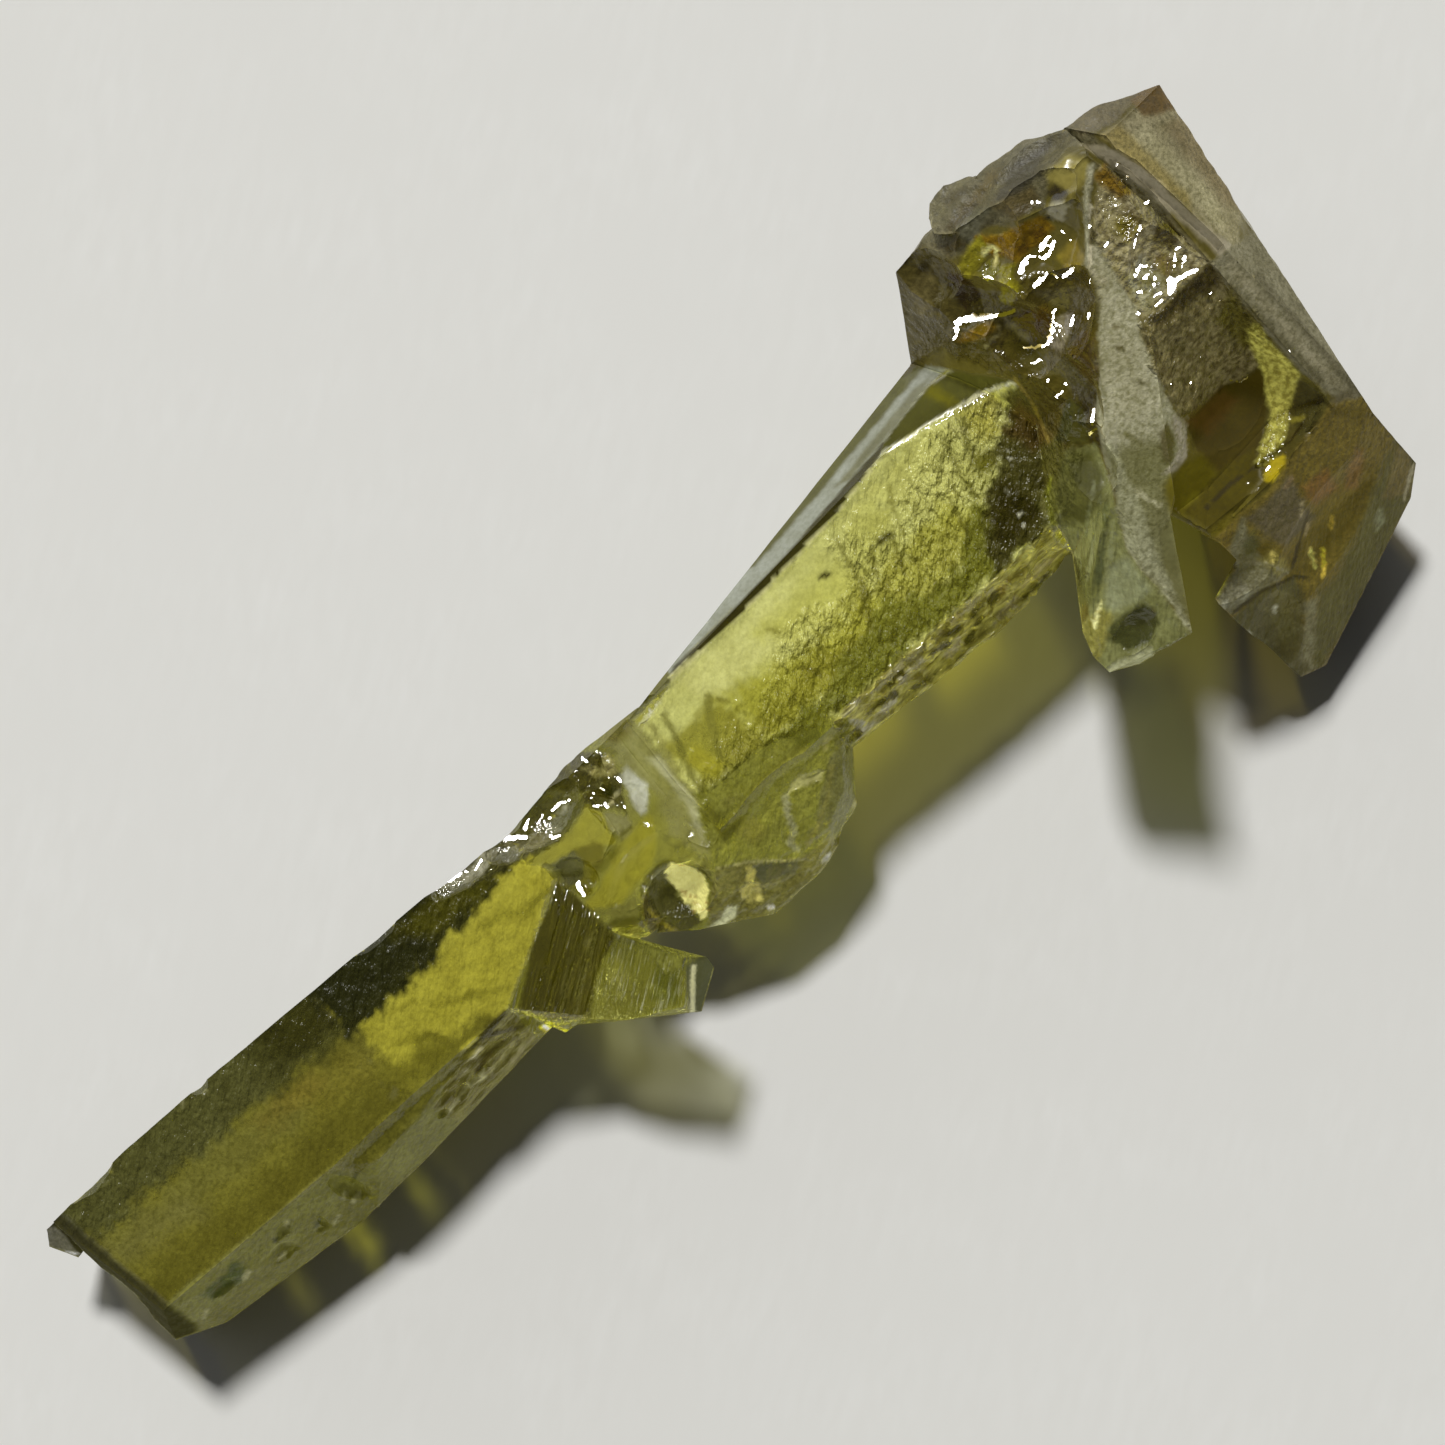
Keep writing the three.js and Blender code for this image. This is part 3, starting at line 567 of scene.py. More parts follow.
def paint_spur(coat):
    whole = (-10.9, -2.15, -7.1, -0.2, -6.9, -2.7, -5.5, -4.4, -4.8, -5.2, -6.6, -6.8, -10.8, -4)
    root = (-10.7, -2.4, -9.2, -1.3, -7.1, -0.2, -6.9, -2.7, -8.1, -3.2, -9.2, -4, -9.9, -3.6)
    end = (-5.8, -4.7, -4.9, -5.1, -5.2, -5.8, -6.5, -6.6, -6.85, -6.05)
    coat.patch(
        whole, 0.1, 0, None, tint=(0.44, 0.45, 0.16), rough=0.06, colour=(116, 116, 48),
        frosting=0.4, spur_ribs=0.9,
    )
    coat.patch(
        root, 0.1, 0.06, tint=(0.16, 0.15, 0.08), rough=0.1, colour=(66, 62, 26), frosting=0.5,
        spur_ribs=0.9, broken=0.3,
    )
    for width, colour, *route in (
        (0.18, (100, 98, 50), -9.6, -3.7, -8.6, -3, -7.4, -2.3),
        (0.14, (92, 90, 48), -9.4, -3, -8.4, -2.3),
        (0.1, (110, 106, 60), -8.6, -2.9, -7.6, -2.2),
        (0.12, (84, 82, 42), -8.2, -1.8, -7.4, -1.2),
        (0.12, (50, 46, 22), -7.2, -2, -7.1, -2.7),
        (0.12, (140, 138, 66), -7.9, -3.6, -6.7, -2.9),
        (0.12, (136, 134, 60), -8.3, -4.2, -7.3, -3.5),
        (0.12, (128, 126, 66), -8.9, -4.5, -8.2, -4.1),
        (0.1, (132, 130, 60), -7, -3.9, -6.4, -3.5),
    ):
        coat.line(route, width, 0.12, strength=0.7, colour=colour, frosting=0.6)
    patch = (-7.4, -4.9, -6.6, -4.2, -5.95, -4.55, -6.9, -5.6)
    coat.patch(patch, 0.25, 0.1, shade=(0.6, 0.64, 0.36))
    coat.patch(
        end, 0.1, 0.05, None, tint=(0.4, 0.4, 0.3), rough=0.6, colour=(72, 74, 46), frosting=0.95,
        spur_ribs=0,
    )
    coat.line(
        (-5.75, -5.05, -6.2, -5.5, -6.7, -6.05), 0.14, 0.03, rough=0.2, colour=(205, 204, 160),
        frosting=0.85,
    )
    coat.line((-6.9, -2.8, -5.9, -4.2), 0.12, strength=0.7, shade=(0.4, 0.4, 0.3))
    coat.line((-10.9, -2.2, -10.2, -3.1, -9.3, -4), 0.1, colour=(130, 126, 76), frosting=0.6)
    # Painted light through the crystal: a bright yellow patch with a painted glow and a white
    # highlight.
    glint = (-10.65, -3.15, -10.3, -3.3, -9.85, -4.2, -10.2, -4.15)
    coat.patch(glint, 0.12, 0.12, None, frost=(1, 0.88, 0.02), frosting=0.97, broken=0.3, glow=0.8)
    coat.line((-10.45, -3.3, -10.35, -3.7, -10, -4.1), 0.1, 0.1, frost=(1, 1, 0.75))


def paint_middle(coat):
    whole = (-7.1, 3.2, -2, 3.2, -2.2, -1.3, -2.7, -3.2, -5.8, -5, -7.1, -2.4)
    coat.patch(
        whole, 0.2, 0.1, None, tint=(0.56, 0.56, 0.5), rough=0.03, colour=(122, 122, 66),
        frosting=0.45, pebbled=0.08,
    )
    scoops = (
        -10.3, 2.5, -4.6, 2.5, -4.75, 1.4, -5.1, 0.95, -5.6, 0.75, -6.2, 0.65, -6.9, 0.8, -8, 1.15,
        -9, 1.4, -10, 1.8,
    )
    coat.patch(
        scoops, 0.1, 0.08, tint=(0.26, 0.26, 0.16), rough=0.04, colour=(88, 86, 52), frosting=0.6,
        broken=0.6,
    )
    for colour, *outline in (
        ((176, 174, 150), -9.9, 2, -8.2, 2, -7.8, 1.7, -8.6, 1.5, -9.6, 1.8),
        ((128, 124, 92), -7.6, 1.7, -6.9, 1.4, -6.4, 1.3, -6.4, 0.9, -7.3, 1),
        ((84, 84, 48), -6.2, 1.3, -5.4, 1.5, -4.8, 1.1, -5.2, 0.85, -5.9, 0.8),
        ((150, 150, 128), -5.75, 1.4, -5.3, 1.35, -5.4, 1.15, -5.7, 1.2),
        ((66, 62, 34), -5.4, 2.2, -4.5, 2.3, -4.4, 1.4, -5, 1.5),
    ):
        coat.patch(outline, 0.16, 0.12, colour=colour, frosting=0.75)
    step = (
        -7.6, 0.9, -6.9, 0.75, -6.2, 0.62, -5.5, 0.75, -4.8, 0.9, -4.65, 0.4, -4.9, -0.2, -4.95,
        -0.6, -5.6, -0.3, -6.1, 0.1, -7, 0.3,
    )
    coat.patch(step, 0.12, 0.08, tint=(0.7, 0.67, 0.3), colour=(150, 144, 56), frosting=0.25)
    fold = (-6.1, 0.15, -5.4, -0.05, -5.2, -0.4, -5.6, -0.8, -6.6, -1.25, -6.9, -1.2)
    coat.patch(
        fold, 0.14, 0.14, tint=(0.3, 0.28, 0.1), colour=(92, 84, 34), frosting=0.4, broken=0.5,
    )
    wedge = (-5.65, -1.15, -5.4, -0.6, -4.75, -0.72)
    coat.patch(wedge, 0.1, 0.05, tint=(0.34, 0.33, 0.12), colour=(100, 96, 40), frosting=0.4)
    dark = (-7, 0.35, -6.5, 0.25, -6.1, 0.15, -6.1, -0.25, -6.3, -0.55, -6.5, -0.7, -6.95, -0.6)
    coat.patch(
        dark, 0.1, 0.06, tint=(0.24, 0.24, 0.17), rough=0.05, colour=(92, 92, 68), frosting=0.7,
        broken=0.2,
    )
    clear = (
        -7, -1.35, -6.2, -1.2, -5.6, -0.95, -5, -0.8, -4.3, -0.6, -3.6, -0.65, -3.9, -1.3, -4.6,
        -1.8, -5.3, -2, -6.2, -2.1, -6.9, -1.6,
    )
    coat.patch(clear, 0.2, 0.1, tint=(0.66, 0.62, 0.3), colour=(150, 144, 60), frosting=0.2)
    below = (-6.9, -1.7, -6.2, -2.15, -5.5, -2.1, -6.2, -3.1)
    coat.patch(below, 0.25, 0.1, None, tint=(0.2, 0.2, 0.1), colour=(120, 118, 58), frosting=0.85)
    coat.patch(
        (-7.1, -2.2, -6.6, -2.2, -5.7, -3, -5.6, -4.4, -6.2, -3.6), 0.2, 0.1, None,
        tint=(0.12, 0.12, 0.05), colour=(84, 82, 32), frosting=0.8,
    )
    hollow = (
        -4.8, 1.2, -4.5, 2.1, -4.1, 2.5, -3.7, 2.1, -3.3, 1.7, -3.5, 0.8, -3.85, 0.3, -4.1, -0.15,
        -4.4, 0.4, -4.75, 0.6,
    )
    coat.patch(
        hollow, 0.1, 0.08, tint=(0.12, 0.12, 0.06), colour=(72, 66, 36), frosting=0.6, rough=0.04,
        broken=0.8,
    )
    coat.patch(
        (-4.3, 0.95, -3.8, 0.9, -3.8, 0.6, -4.2, 0.6), 0.12, 0.08, colour=(44, 46, 26),
        frosting=0.8,
    )
    cream = (
        -4.25, 2, -3.95, 1.7, -3.75, 1.5, -3.45, 1.8, -3.25, 1.65, -3.45, 1.1, -3.65, 1.05, -4.1,
        1.35,
    )
    coat.patch(cream, 0.1, 0.06, colour=(178, 172, 112), frosting=0.75)
    coat.line(
        (-3.85, 1.9, -3.5, 1.85, -3.75, 1.55), 0.14, 0.05, colour=(90, 84, 40), frosting=0.75,
    )
    grey = (-4.65, 0.45, -4.4, 0.2, -4.1, -0.2, -4.3, -0.6, -4.75, -0.62, -4.85, -0.1)
    strip = (
        -3.3, 2.1, -2.1, 2.1, -2, 0.5, -2.2, -0.8, -2.3, -1.8, -2.5, -2.6, -2.9, -3.2, -3.3, -2.6,
        -3.6, -1.4, -3, -0.4, -3.1, 1,
    )
    bright = (
        -2.5, 0.8, -2.15, 0.6, -2.25, -0.8, -2.35, -1.8, -2.5, -2.6, -2.9, -3.1, -2.85, -2.2,
        -2.55, -1, -2.5, 0,
    )
    white = (
        -3.6, 0.9, -3.2, 0.95, -3.05, 0.5, -3, 0.1, -3.3, -0.2, -3.6, -0.5, -3.78, -0.45, -3.8,
        0.1, -3.6, 0.45,
    )
    # The strip and the band in it are painted whitish: a painted reflection on the ramp facet.
    coat.patch(strip, 0.35, 0.2, colour=(138, 137, 92), frosting=0.6, rough=0.2)
    coat.patch(bright, 0.2, 0.1, colour=(178, 178, 140), frosting=0.8)
    coat.patch(
        (-3.2, 2.2, -2, 2.2, -2.3, 1.6, -2.9, 1.7), 0.2, 0.1, colour=(112, 106, 62), frosting=0.65,
    )
    coat.patch(white, 0.14, 0.08, colour=(196, 198, 178), frosting=0.92, rough=0.3)
    coat.patch(grey, 0.12, 0.06, colour=(132, 130, 90), frosting=0.75)
    coat.line((-4.8, -0.6, -4.6, -0.45, -4.3, -0.55), 0.1, 0.04, colour=(70, 66, 30), frosting=0.7)
    coat.line(
        (-7.05, 0, -7, -1.4, -6.9, -2.6), 0.12, strength=0.8, colour=(112, 108, 74), frosting=0.6,
    )
    coat.line((-7, -2.2, -6.95, -2.7), 0.18, 0.05, colour=(40, 36, 14), frosting=0.8)
    # A painted cream glint.
    coat.line((-4.4, 0.42, -4, 0.55, -3.7, 0.5), 0.1, 0.04, colour=(196, 190, 140), frosting=0.8)
    for width, *route in (
        (0.2, -7.6, 2, -7.3, 1.75, -6.95, 1.45), (0.1, -6.8, 1.65, -6.5, 1.8),
        (0.1, -6.4, 1.5, -6.1, 1.6), (0.13, -6, 1.4, -5.6, 1.55, -5.3, 1.45),
        (0.08, -5.2, 1.45, -4.95, 1.25), (0.08, -6.4, 1.1, -6.3, 0.85, -6.1, 0.75),
        (0.13, -9.6, 2.05, -8.9, 1.85), (0.1, -8.8, 1.75, -8.3, 1.9),
        (0.13, -6.7, -0.7, -6.78, -0.95, -6.82, -1.2), (0.1, -3.95, 2.1, -3.93, 1.85),
        (0.1, -4.65, 0.95, -4.45, 1.05), (0.13, -4.2, 1.15, -4.15, 0.92),
        (0.1, -3.77, 1.12, -3.75, 0.95), (0.08, -3.58, 0.85, -3.55, 0.76),
        (0.08, -4.72, 0.78, -4.62, 0.68), (0.1, -4.05, 0.2, -4.02, 0.05),
        (0.08, -4.45, 0.55, -4.4, 0.45),
    ):
        coat.glint(route, width)


def paint_belly(coat):
    whole = (
        -3.3, -3.3, -2.4, -1.5, -1.9, -1.2, 1, -1.5, 3, -2.5, 2.6, -3.4, 1.8, -4.6, -1.2, -6.3,
        -6.6, -4.6, -6.4, -3.2, -4.9, -2, -3.9, -2.4,
    )
    coat.patch(
        whole, 0.2, 0.15, None, tint=(0.36, 0.36, 0.14), rough=0.08, colour=(132, 133, 60),
        frosting=0.78, gritty=0.4, pebbled=0.3, let_in=(0.3, 0.28, 0.12),
    )
    coat.line(
        (-2.2, -2.5, -1, -2.35, 0, -2.2, 1.2, -2.3, 2.6, -2.6), 0.4, 0.06, above=None,
        tint=(0.3, 0.3, 0.1), colour=(122, 121, 50), frosting=0.8,
    )
    for colour, *outline in (
        ((78, 76, 28), -2.4, -1.6, -1.9, -1.5, -2, -2.4, -2.4, -2.6),
        ((100, 104, 42), 1.2, -1.7, 2.6, -1.6, 2.8, -2.4, 1.6, -2.5),
        ((130, 126, 62), -1.9, -2.8, -1.2, -2.8, -1.3, -3.5, -1.9, -3.4),
        ((140, 138, 76), -1.7, -1.7, -1.3, -1.8, -1.1, -2.2, -1.5, -2.1),
    ):
        coat.patch(outline, 0.3, 0.2, strength=0.8, colour=colour, frosting=0.55)
    below = (
        -4.6, -4.4, -3.6, -3.5, -3.1, -3.2, -2.3, -3.8, -1.5, -4.6, 0, -5, 0.8, -5, 1.8, -4.2, 1.8,
        -6, -4, -6,
    )
    # The skins below get a faint painted glow.
    coat.patch(
        below, 0.12, 0.08, None, tint=(0.2, 0.2, 0.1), colour=(126, 123, 68), frosting=0.85,
        broken=0.6, pebbled=0, glow=0.15,
    )
    striped = (-6.1, -3.4, -5.8, -2.7, -5.3, -2.2, -5.45, -3.2, -5.3, -4.1, -5.8, -3.8)
    coat.patch(
        striped, 0.1, 0.08, None, tint=(0.15, 0.14, 0.06), colour=(98, 92, 44), frosting=0.85,
        broken=0.8,
    )
    # Painted light on the lens-shaped chip: its left half is painted dark and its right half
    # light,
    # with a painted glow, as reflection inside the crystal shows them.
    dark_half = (
        -5.5, -2.7, -5.1, -2.15, -4.8, -1.97, -4.3, -1.98, -4.15, -2.2, -4.5, -2.6, -4.62, -3.2,
        -4.6, -4.2, -5.35, -4.1, -5.5, -3.3,
    )
    beige_half = (
        -4.42, -2.25, -4.1, -2.2, -3.8, -2.4, -3.62, -2.8, -3.62, -3.2, -3.8, -3.6, -4.15, -3.9,
        -4.35, -4.2, -4.6, -4.15, -4.62, -3.1,
    )
    coat.patch(
        dark_half, 0.1, 0.06, None, tint=(0.18, 0.17, 0.09), rough=0.05, colour=(74, 73, 40),
        frosting=0.85, gritty=0,
    )
    coat.patch(
        (-4.9, -2, -4.2, -2, -4.1, -2.3, -4.7, -2.4), 0.12, 0.06, colour=(94, 94, 68),
        frosting=0.8,
    )
    coat.patch(
        beige_half, 0.05, 0.1, None, colour=(206, 202, 126), frosting=0.97, gritty=0, rough=0.2,
        glow=0.65,
    )
    for route in (
        (-4.6, -3.45, -4.1, -3.85), (-4.6, -3.75, -4.2, -4.05), (-4.5, -3.05, -4.3, -3.2),
        (-4, -2.4, -3.7, -2.65), (-4.45, -3.25, -4.2, -3.5),
    ):
        coat.line(route, 0.07, 0.05, strength=0.7, colour=(140, 110, 52))
    crescent = (-3.85, -2.45, -3.5, -2.9, -3.3, -3.2, -3.6, -3.45, -3.62, -3)
    coat.patch(crescent, 0.08, 0.05, colour=(66, 66, 40), frosting=0.8)
    rim = (
        -6.2, -3.2, -5.9, -2.75, -5.3, -2.15, -4.9, -1.97, -4.3, -1.95, -3.9, -2.35, -3.4, -3, -3,
        -3.4,
    )
    coat.line(rim, 0.1, colour=(58, 56, 28), frosting=0.7)
    coat.line(
        (-5.6, -2.8, -5.6, -3.3, -5.45, -3.9), 0.12, 0.1, colour=(140, 130, 52), frosting=0.75,
    )
    chip = (-4.6, -4.45, -4.2, -4.5, -3.7, -4.35, -3.5, -4.55, -3.7, -4.78, -4.4, -4.72)
    cream = (
        -3.2, -4.15, -2.9, -4.3, -2.5, -3.9, -2.35, -4.05, -2.65, -4.3, -2.6, -4.7, -2.8, -4.95,
        -3.1, -4.7,
    )
    grey = (-2.45, -3.9, -2, -4.1, -1.15, -4.75, -1.3, -5.05, -2.4, -4.6)
    coat.patch(grey, 0.1, 0.06, colour=(86, 88, 68), frosting=0.85, broken=0.2)
    # The white chip and the cream patch get a painted glow.
    coat.patch(chip, 0.08, 0.05, None, colour=(196, 198, 158), frosting=0.95, broken=0.2, glow=0.5)
    coat.patch(cream, 0.08, 0.2, None, colour=(200, 192, 108), frosting=0.9, glow=0.35)
    coat.patch(
        (-3.6, -4.9, -3, -4.75, -2.85, -5.1, -3.3, -5.3), 0.15, 0.12, colour=(132, 128, 70),
        frosting=0.65,
    )
    coat.patch(
        (-1.4, -4.95, 0, -4.85, 0.6, -5.1, 0.2, -5.4, -1.2, -5.8), 0.12, 0.08,
        colour=(134, 130, 72), frosting=0.65,
    )
    pale = (-0.1, -3.05, 0.3, -2.85, 0.7, -2.8, 1, -3, 1.35, -3.25, 1.1, -3.4, 0.7, -3.25, 0.2, -3)
    coat.patch(pale, 0.08, 0.06, colour=(182, 180, 118), frosting=0.8, pebbled=0)
    coat.line(
        (-0.1, -3.05, -0.4, -3.5, -0.6, -4, -0.95, -4.2, -0.9, -4.5), 0.2, 0.08,
        colour=(158, 158, 118), frosting=0.8,
    )
    band = (0.5, -3.9, 1.7, -3.1, 2.5, -2.6, 2.7, -3, 1.6, -4.4, 0.6, -5, -0.4, -4.75, 0.1, -4.2)
    coat.patch(band, 0.12, 0.08, colour=(112, 112, 72), frosting=0.7, broken=0.2)
    coat.line(
        (-0.6, -4.6, 0.2, -4.3, 0.9, -3.9, 1.6, -3.3), 0.12, 0.08, colour=(136, 132, 78),
        frosting=0.7,
    )
    coat.line(
        (1.85, -2.75, 2.05, -2.55, 2.2, -2.65), 0.16, 0.06, colour=(160, 156, 90), frosting=0.8,
    )
    edge = (-3.2, -3.25, -2.3, -3.75, -1.6, -4.35, -1, -4.85)
    coat.line(edge, 0.08, 0.04, colour=(172, 168, 112), frosting=0.8)
    coat.line((0.4, -5.1, 0.9, -5, 1.4, -4.6), 0.09, 0.03, colour=(190, 186, 120), frosting=0.85)
    for route in ((-2.75, -5.22, -2.7, -5.3), (-0.5, -5.3, -0.3, -5.28)):
        coat.line(route, 0.14, 0.05, colour=(230, 228, 200), frosting=0.9)


def paint_shank(coat):
    whole = (-2.3, 3, 12, 5, 13.8, 1.8, 14.6, -2, 11.6, -3.6, 2.6, -3.8, -1.9, -1.3)
    face = (
        -2.1, 1.5, 0, 2.1, 3, 2.1, 7, 2.45, 9.2, 2.85, 11, 2.6, 13.8, 1.8, 14.4, -2, 11, -2.35,
        -2.3, -2.4,
    )
    coat.patch(whole, 0.15, 0.1, None, tint=(0.93, 0.94, 0.85))
    coat.patch(face, 0.1, 0, pebbled=0.3, colour=(214, 216, 134), frosting=0.68, rough=0.05)
    coat.patch((-1.8, 0.4, 5.4, 0.2, 6.4, 1.6, 6.6, 2.4, -0.4, 2.1), 0.8, 0.4, pebbled=0.1)
    # Painted light: the face is painted lighter toward its upper edge, where light passes through
    # less crystal, and yellower below it.
    for colour, soft, *outline in (
        ((234, 236, 156), 0.7, -0.2, 1.9, 3, 2, 4.6, 1.8, 3.2, 0.6, 0.6, 0.5),
        ((212, 213, 118), 0.8, 2.4, 1.4, 5.4, 1.6, 7.4, 0.8, 6.2, 0.2, 3.4, 0.3),
        ((208, 209, 124), 0.8, 8, 2.4, 10.4, 2.6, 11.6, 2.3, 11.4, 0.6, 9, 0.4),
        ((198, 199, 110), 0.6, 6.2, 1.6, 7.6, 2.2, 8.4, 1.4, 7.6, 0.4, 6.4, 0.5),
        ((182, 178, 84), 0.4, 11.8, 2.3, 12.9, 2.1, 13.1, 1.5, 12.4, 0.9, 11.9, 1.2),
    ):
        coat.patch(outline, soft, 0.4, colour=colour)
    yellow = (
        0.2, 0.5, 2, 0.5, 4, -0.1, 6, 0.1, 8, 0.1, 9.8, 0.4, 10.4, -0.4, 9.4, -1.3, 0.4, -1.5,
    )
    coat.patch(yellow, 0.8, 0.5, tint=(0.84, 0.82, 0.5), colour=(172, 171, 68))
    coat.patch(
        (0.4, -0.3, 3.2, -0.5, 5.4, -0.9, 5, -1.6, 0.6, -1.6), 0.5, 0.4, colour=(148, 146, 54),
    )
    coat.patch((6, 0, 9.6, 0, 9.6, -1.4, 6.6, -1.5), 0.6, 0.4, colour=(178, 177, 84))
    deep = (
        3.4, 0.9, 5.8, 0.2, 6.4, 2, 8, 0.9, 10, 2, 12.2, 2.4, 13.9, 1.8, 14.4, -2, 11, -2.4, -2.3,
        -2.4, -1.8, -0.8, 1, -0.6,
    )
    coat.patch(deep, 0.9, 0.5, pebbled=1, frosting=0.75)
    # The strip along the lower side is painted dark, adding painted shade to the dark reflection
    # there.
    strip = (
        -2.2, -1, -0.6, -1.35, 0.4, -1.2, 1.5, -1.45, 2.6, -1.35, 3.2, -1.5, 3.9, -1, 5, -1.05,
        5.8, -0.6, 6.3, -0.35, 6.8, -0.9, 7.4, -1.3, 8.4, -1.35, 9, -1, 9.6, -0.6, 10.4, 0, 11.4,
        -2.3, 2.6, -2.25, -2.3, -2.4,
    )
    coat.patch(strip, 0.3, 0.4, tint=(0.5, 0.5, 0.26), colour=(118, 121, 48), frosting=0.72)
    left_shade = (-2, 0.8, 0.3, 0.5, 0.6, -1.4, -1.7, -1.3)
    coat.patch(left_shade, 0.4, 0.3, colour=(142, 139, 58))
    spot = (-1.75, -0.1, -1.1, 0.1, -0.8, -1, -1.3, -1.2)
    coat.patch(spot, 0.25, 0.1, tint=(0.86, 0.8, 0.3), colour=(160, 156, 62), frosting=0.35)
    # Painted shade where the head shades the shank's end, with darker and lighter patches over it.
    painted_head_shade = (
        13.7, 1.75, 13.2, 1.5, 12.9, 1, 12.4, 0.75, 11.9, 0.7, 11.6, 0.2, 11, 0, 10.5, -0.5, 10.2,
        -1.2, 9.7, -1.6, 9.4, -2.3, 11.8, -2.3, 13, -2.2, 14.6, -0.8, 14.6, 1.5,
    )
    coat.patch(
        painted_head_shade, 0.5, 0.6, tint=(0.17, 0.145, 0.055), colour=(78, 75, 36), frosting=0.97, rough=0.08,
        broken=0.25, pebbled=0.6,
    )
    for colour, *outline in (
        ((84, 70, 34), 12.6, 0.9, 13.6, 1.3, 13.7, -0.4, 12.8, -0.2),
        ((56, 52, 22), 10.2, -0.8, 11.6, -0.2, 11.9, -1.8, 10.2, -1.8),
        ((98, 98, 48), 12, -1.4, 12.7, -1.3, 12.4, -2.2, 11.7, -2.2),
        ((100, 98, 44), 11.2, 0.9, 12, 0.7, 11.8, 0.2, 11, 0.3),
    ):
        coat.patch(outline, 0.4, 0.2, colour=colour)
    for width, colour, *route in (
        (0.24, (96, 94, 40), -1.2, 1.4, -1.45, 0.4, -1.85, -0.7, -1.9, -1.4),
        (0.22, (118, 116, 52), 0.2, 0.9, -0.3, 0.2, -0.8, -0.8),
        (0.2, (150, 148, 84), -1.7, 1.4, -1.9, 0.6, -2.1, -0.2),
        (0.2, (128, 126, 58), 6, -0.2, 6.15, 0.5, 6.3, 1.3, 6.5, 1.9),
        (0.16, (122, 120, 54), 6.5, -0.1, 6.8, 0.5, 7.1, 1),
        (0.16, (132, 130, 62), 8.1, 0.6, 8.4, 1.4, 8.8, 2),
        (0.2, (112, 110, 50), 10.6, -0.2, 10.7, 0.9, 11, 1.9),
        (0.2, (106, 104, 46), 11.3, 0.5, 11.5, 1.4, 11.9, 2),
        (0.14, (126, 124, 58), 10.2, 0.2, 10.3, 1.4),
        (0.16, (104, 102, 44), 9.6, -0.8, 9.9, 0.4),
        (0.2, (100, 98, 40), 5.4, -0.9, 5.8, -0.2, 6.1, 0.2),
        (0.14, (132, 130, 60), 7.3, -0.4, 7.7, 0.6, 8, 1),
        (0.14, (140, 138, 66), 3, 1.2, 3.2, 0.9),
        (0.16, (110, 106, 44), 0.4, 0.6, 0.55, 0.4),
        (0.12, (112, 110, 40), 0.6, 0, 0.9, -0.6),
        (0.14, (104, 100, 34), 3, -0.4, 3.3, -0.9),
        (0.12, (132, 130, 74), 11.8, -1.9, 12, -1.6, 12.2, -1.3),
    ):
        coat.line(route, width, 0.07, strength=0.8, colour=colour, frosting=0.8)
    for width, *route in ((0.26, 7.4, 0.9, 7.75, 0.88), (0.2, 5.3, 1.32, 5.55, 1.22)):
        coat.line(route, width, 0.03, colour=(54, 50, 16), frosting=0.9)
    triangle = (
        8.4, 2.85, 9.6, 3.12, 10.8, 3.35, 11.8, 3.5, 13.2, 3.3, 14.9, 3.5, 14.9, 3.2, 13.9, 1.85,
        13, 2.25, 11, 2.65, 9.4, 2.95,
    )
    bevel = (
        -0.4, 2.2, 0.6, 2.33, 3, 2.42, 5, 2.55, 7, 2.8, 8.4, 2.95, 9.6, 3.12, 10.8, 3.35, 11.8,
        3.5, 12.6, 3.5, 14.6, 4.3, 12.6, 5.6, 5, 4.2, -0.2, 3.2,
    )
    # The bevel is painted grey: a painted reflection of the lit room on its slope.
    coat.patch(
        bevel, 0.1, 0.03, None, tint=(0.3, 0.3, 0.26), colour=(154, 158, 146), frosting=0.94,
        rough=0.08, pebbled=0,
    )
    outer = (
        4, 2.95, 6.5, 3.22, 8, 3.45, 10.5, 3.8, 12.2, 4, 13.4, 3.6, 14.6, 4.4, 13.2, 5.6, 5, 4.2,
        3, 3.4,
    )
    coat.patch(
        outer, 0.14, 0.06, None, tint=(0.12, 0.12, 0.06), colour=(92, 91, 50), frosting=0.95,
    )
    coat.patch(
        (7.5, 3.1, 11.4, 3.75, 12, 3.7, 11.6, 3.45, 9.5, 3.15, 8, 2.98), 0.15, 0.05, None,
        colour=(118, 118, 92), rough=0.08,
    )
    coat.patch(
        triangle, 0.1, 0.05, None, tint=(0.16, 0.15, 0.05), colour=(82, 81, 34), frosting=1,
        rough=1,
    )
    lit = (11.5, 3.4, 12, 3.6, 12.15, 2.5, 11.8, 2.5)
    coat.patch(lit, 0.3, 0.1, None, colour=(104, 100, 26))
    thin = (-0.4, 2.1, 3, 2.13, 7, 2.47, 9.2, 2.88, 9.6, 3.14, 7, 2.84, 5, 2.58, 3, 2.43, 0, 2.3)
    coat.patch(
        thin, 0.06, 0.02, None, tint=(0.05, 0.05, 0.03), colour=(62, 58, 26), frosting=0.9,
        rough=0.05, pebbled=0,
    )
    coat.patch(
        (-2.4, 1.9, -0.2, 2.05, -0.2, 2.5, -2.4, 2.5), 0.1, 0.03, None, tint=(0.2, 0.2, 0.1),
        colour=(100, 98, 50), frosting=0.8,
    )
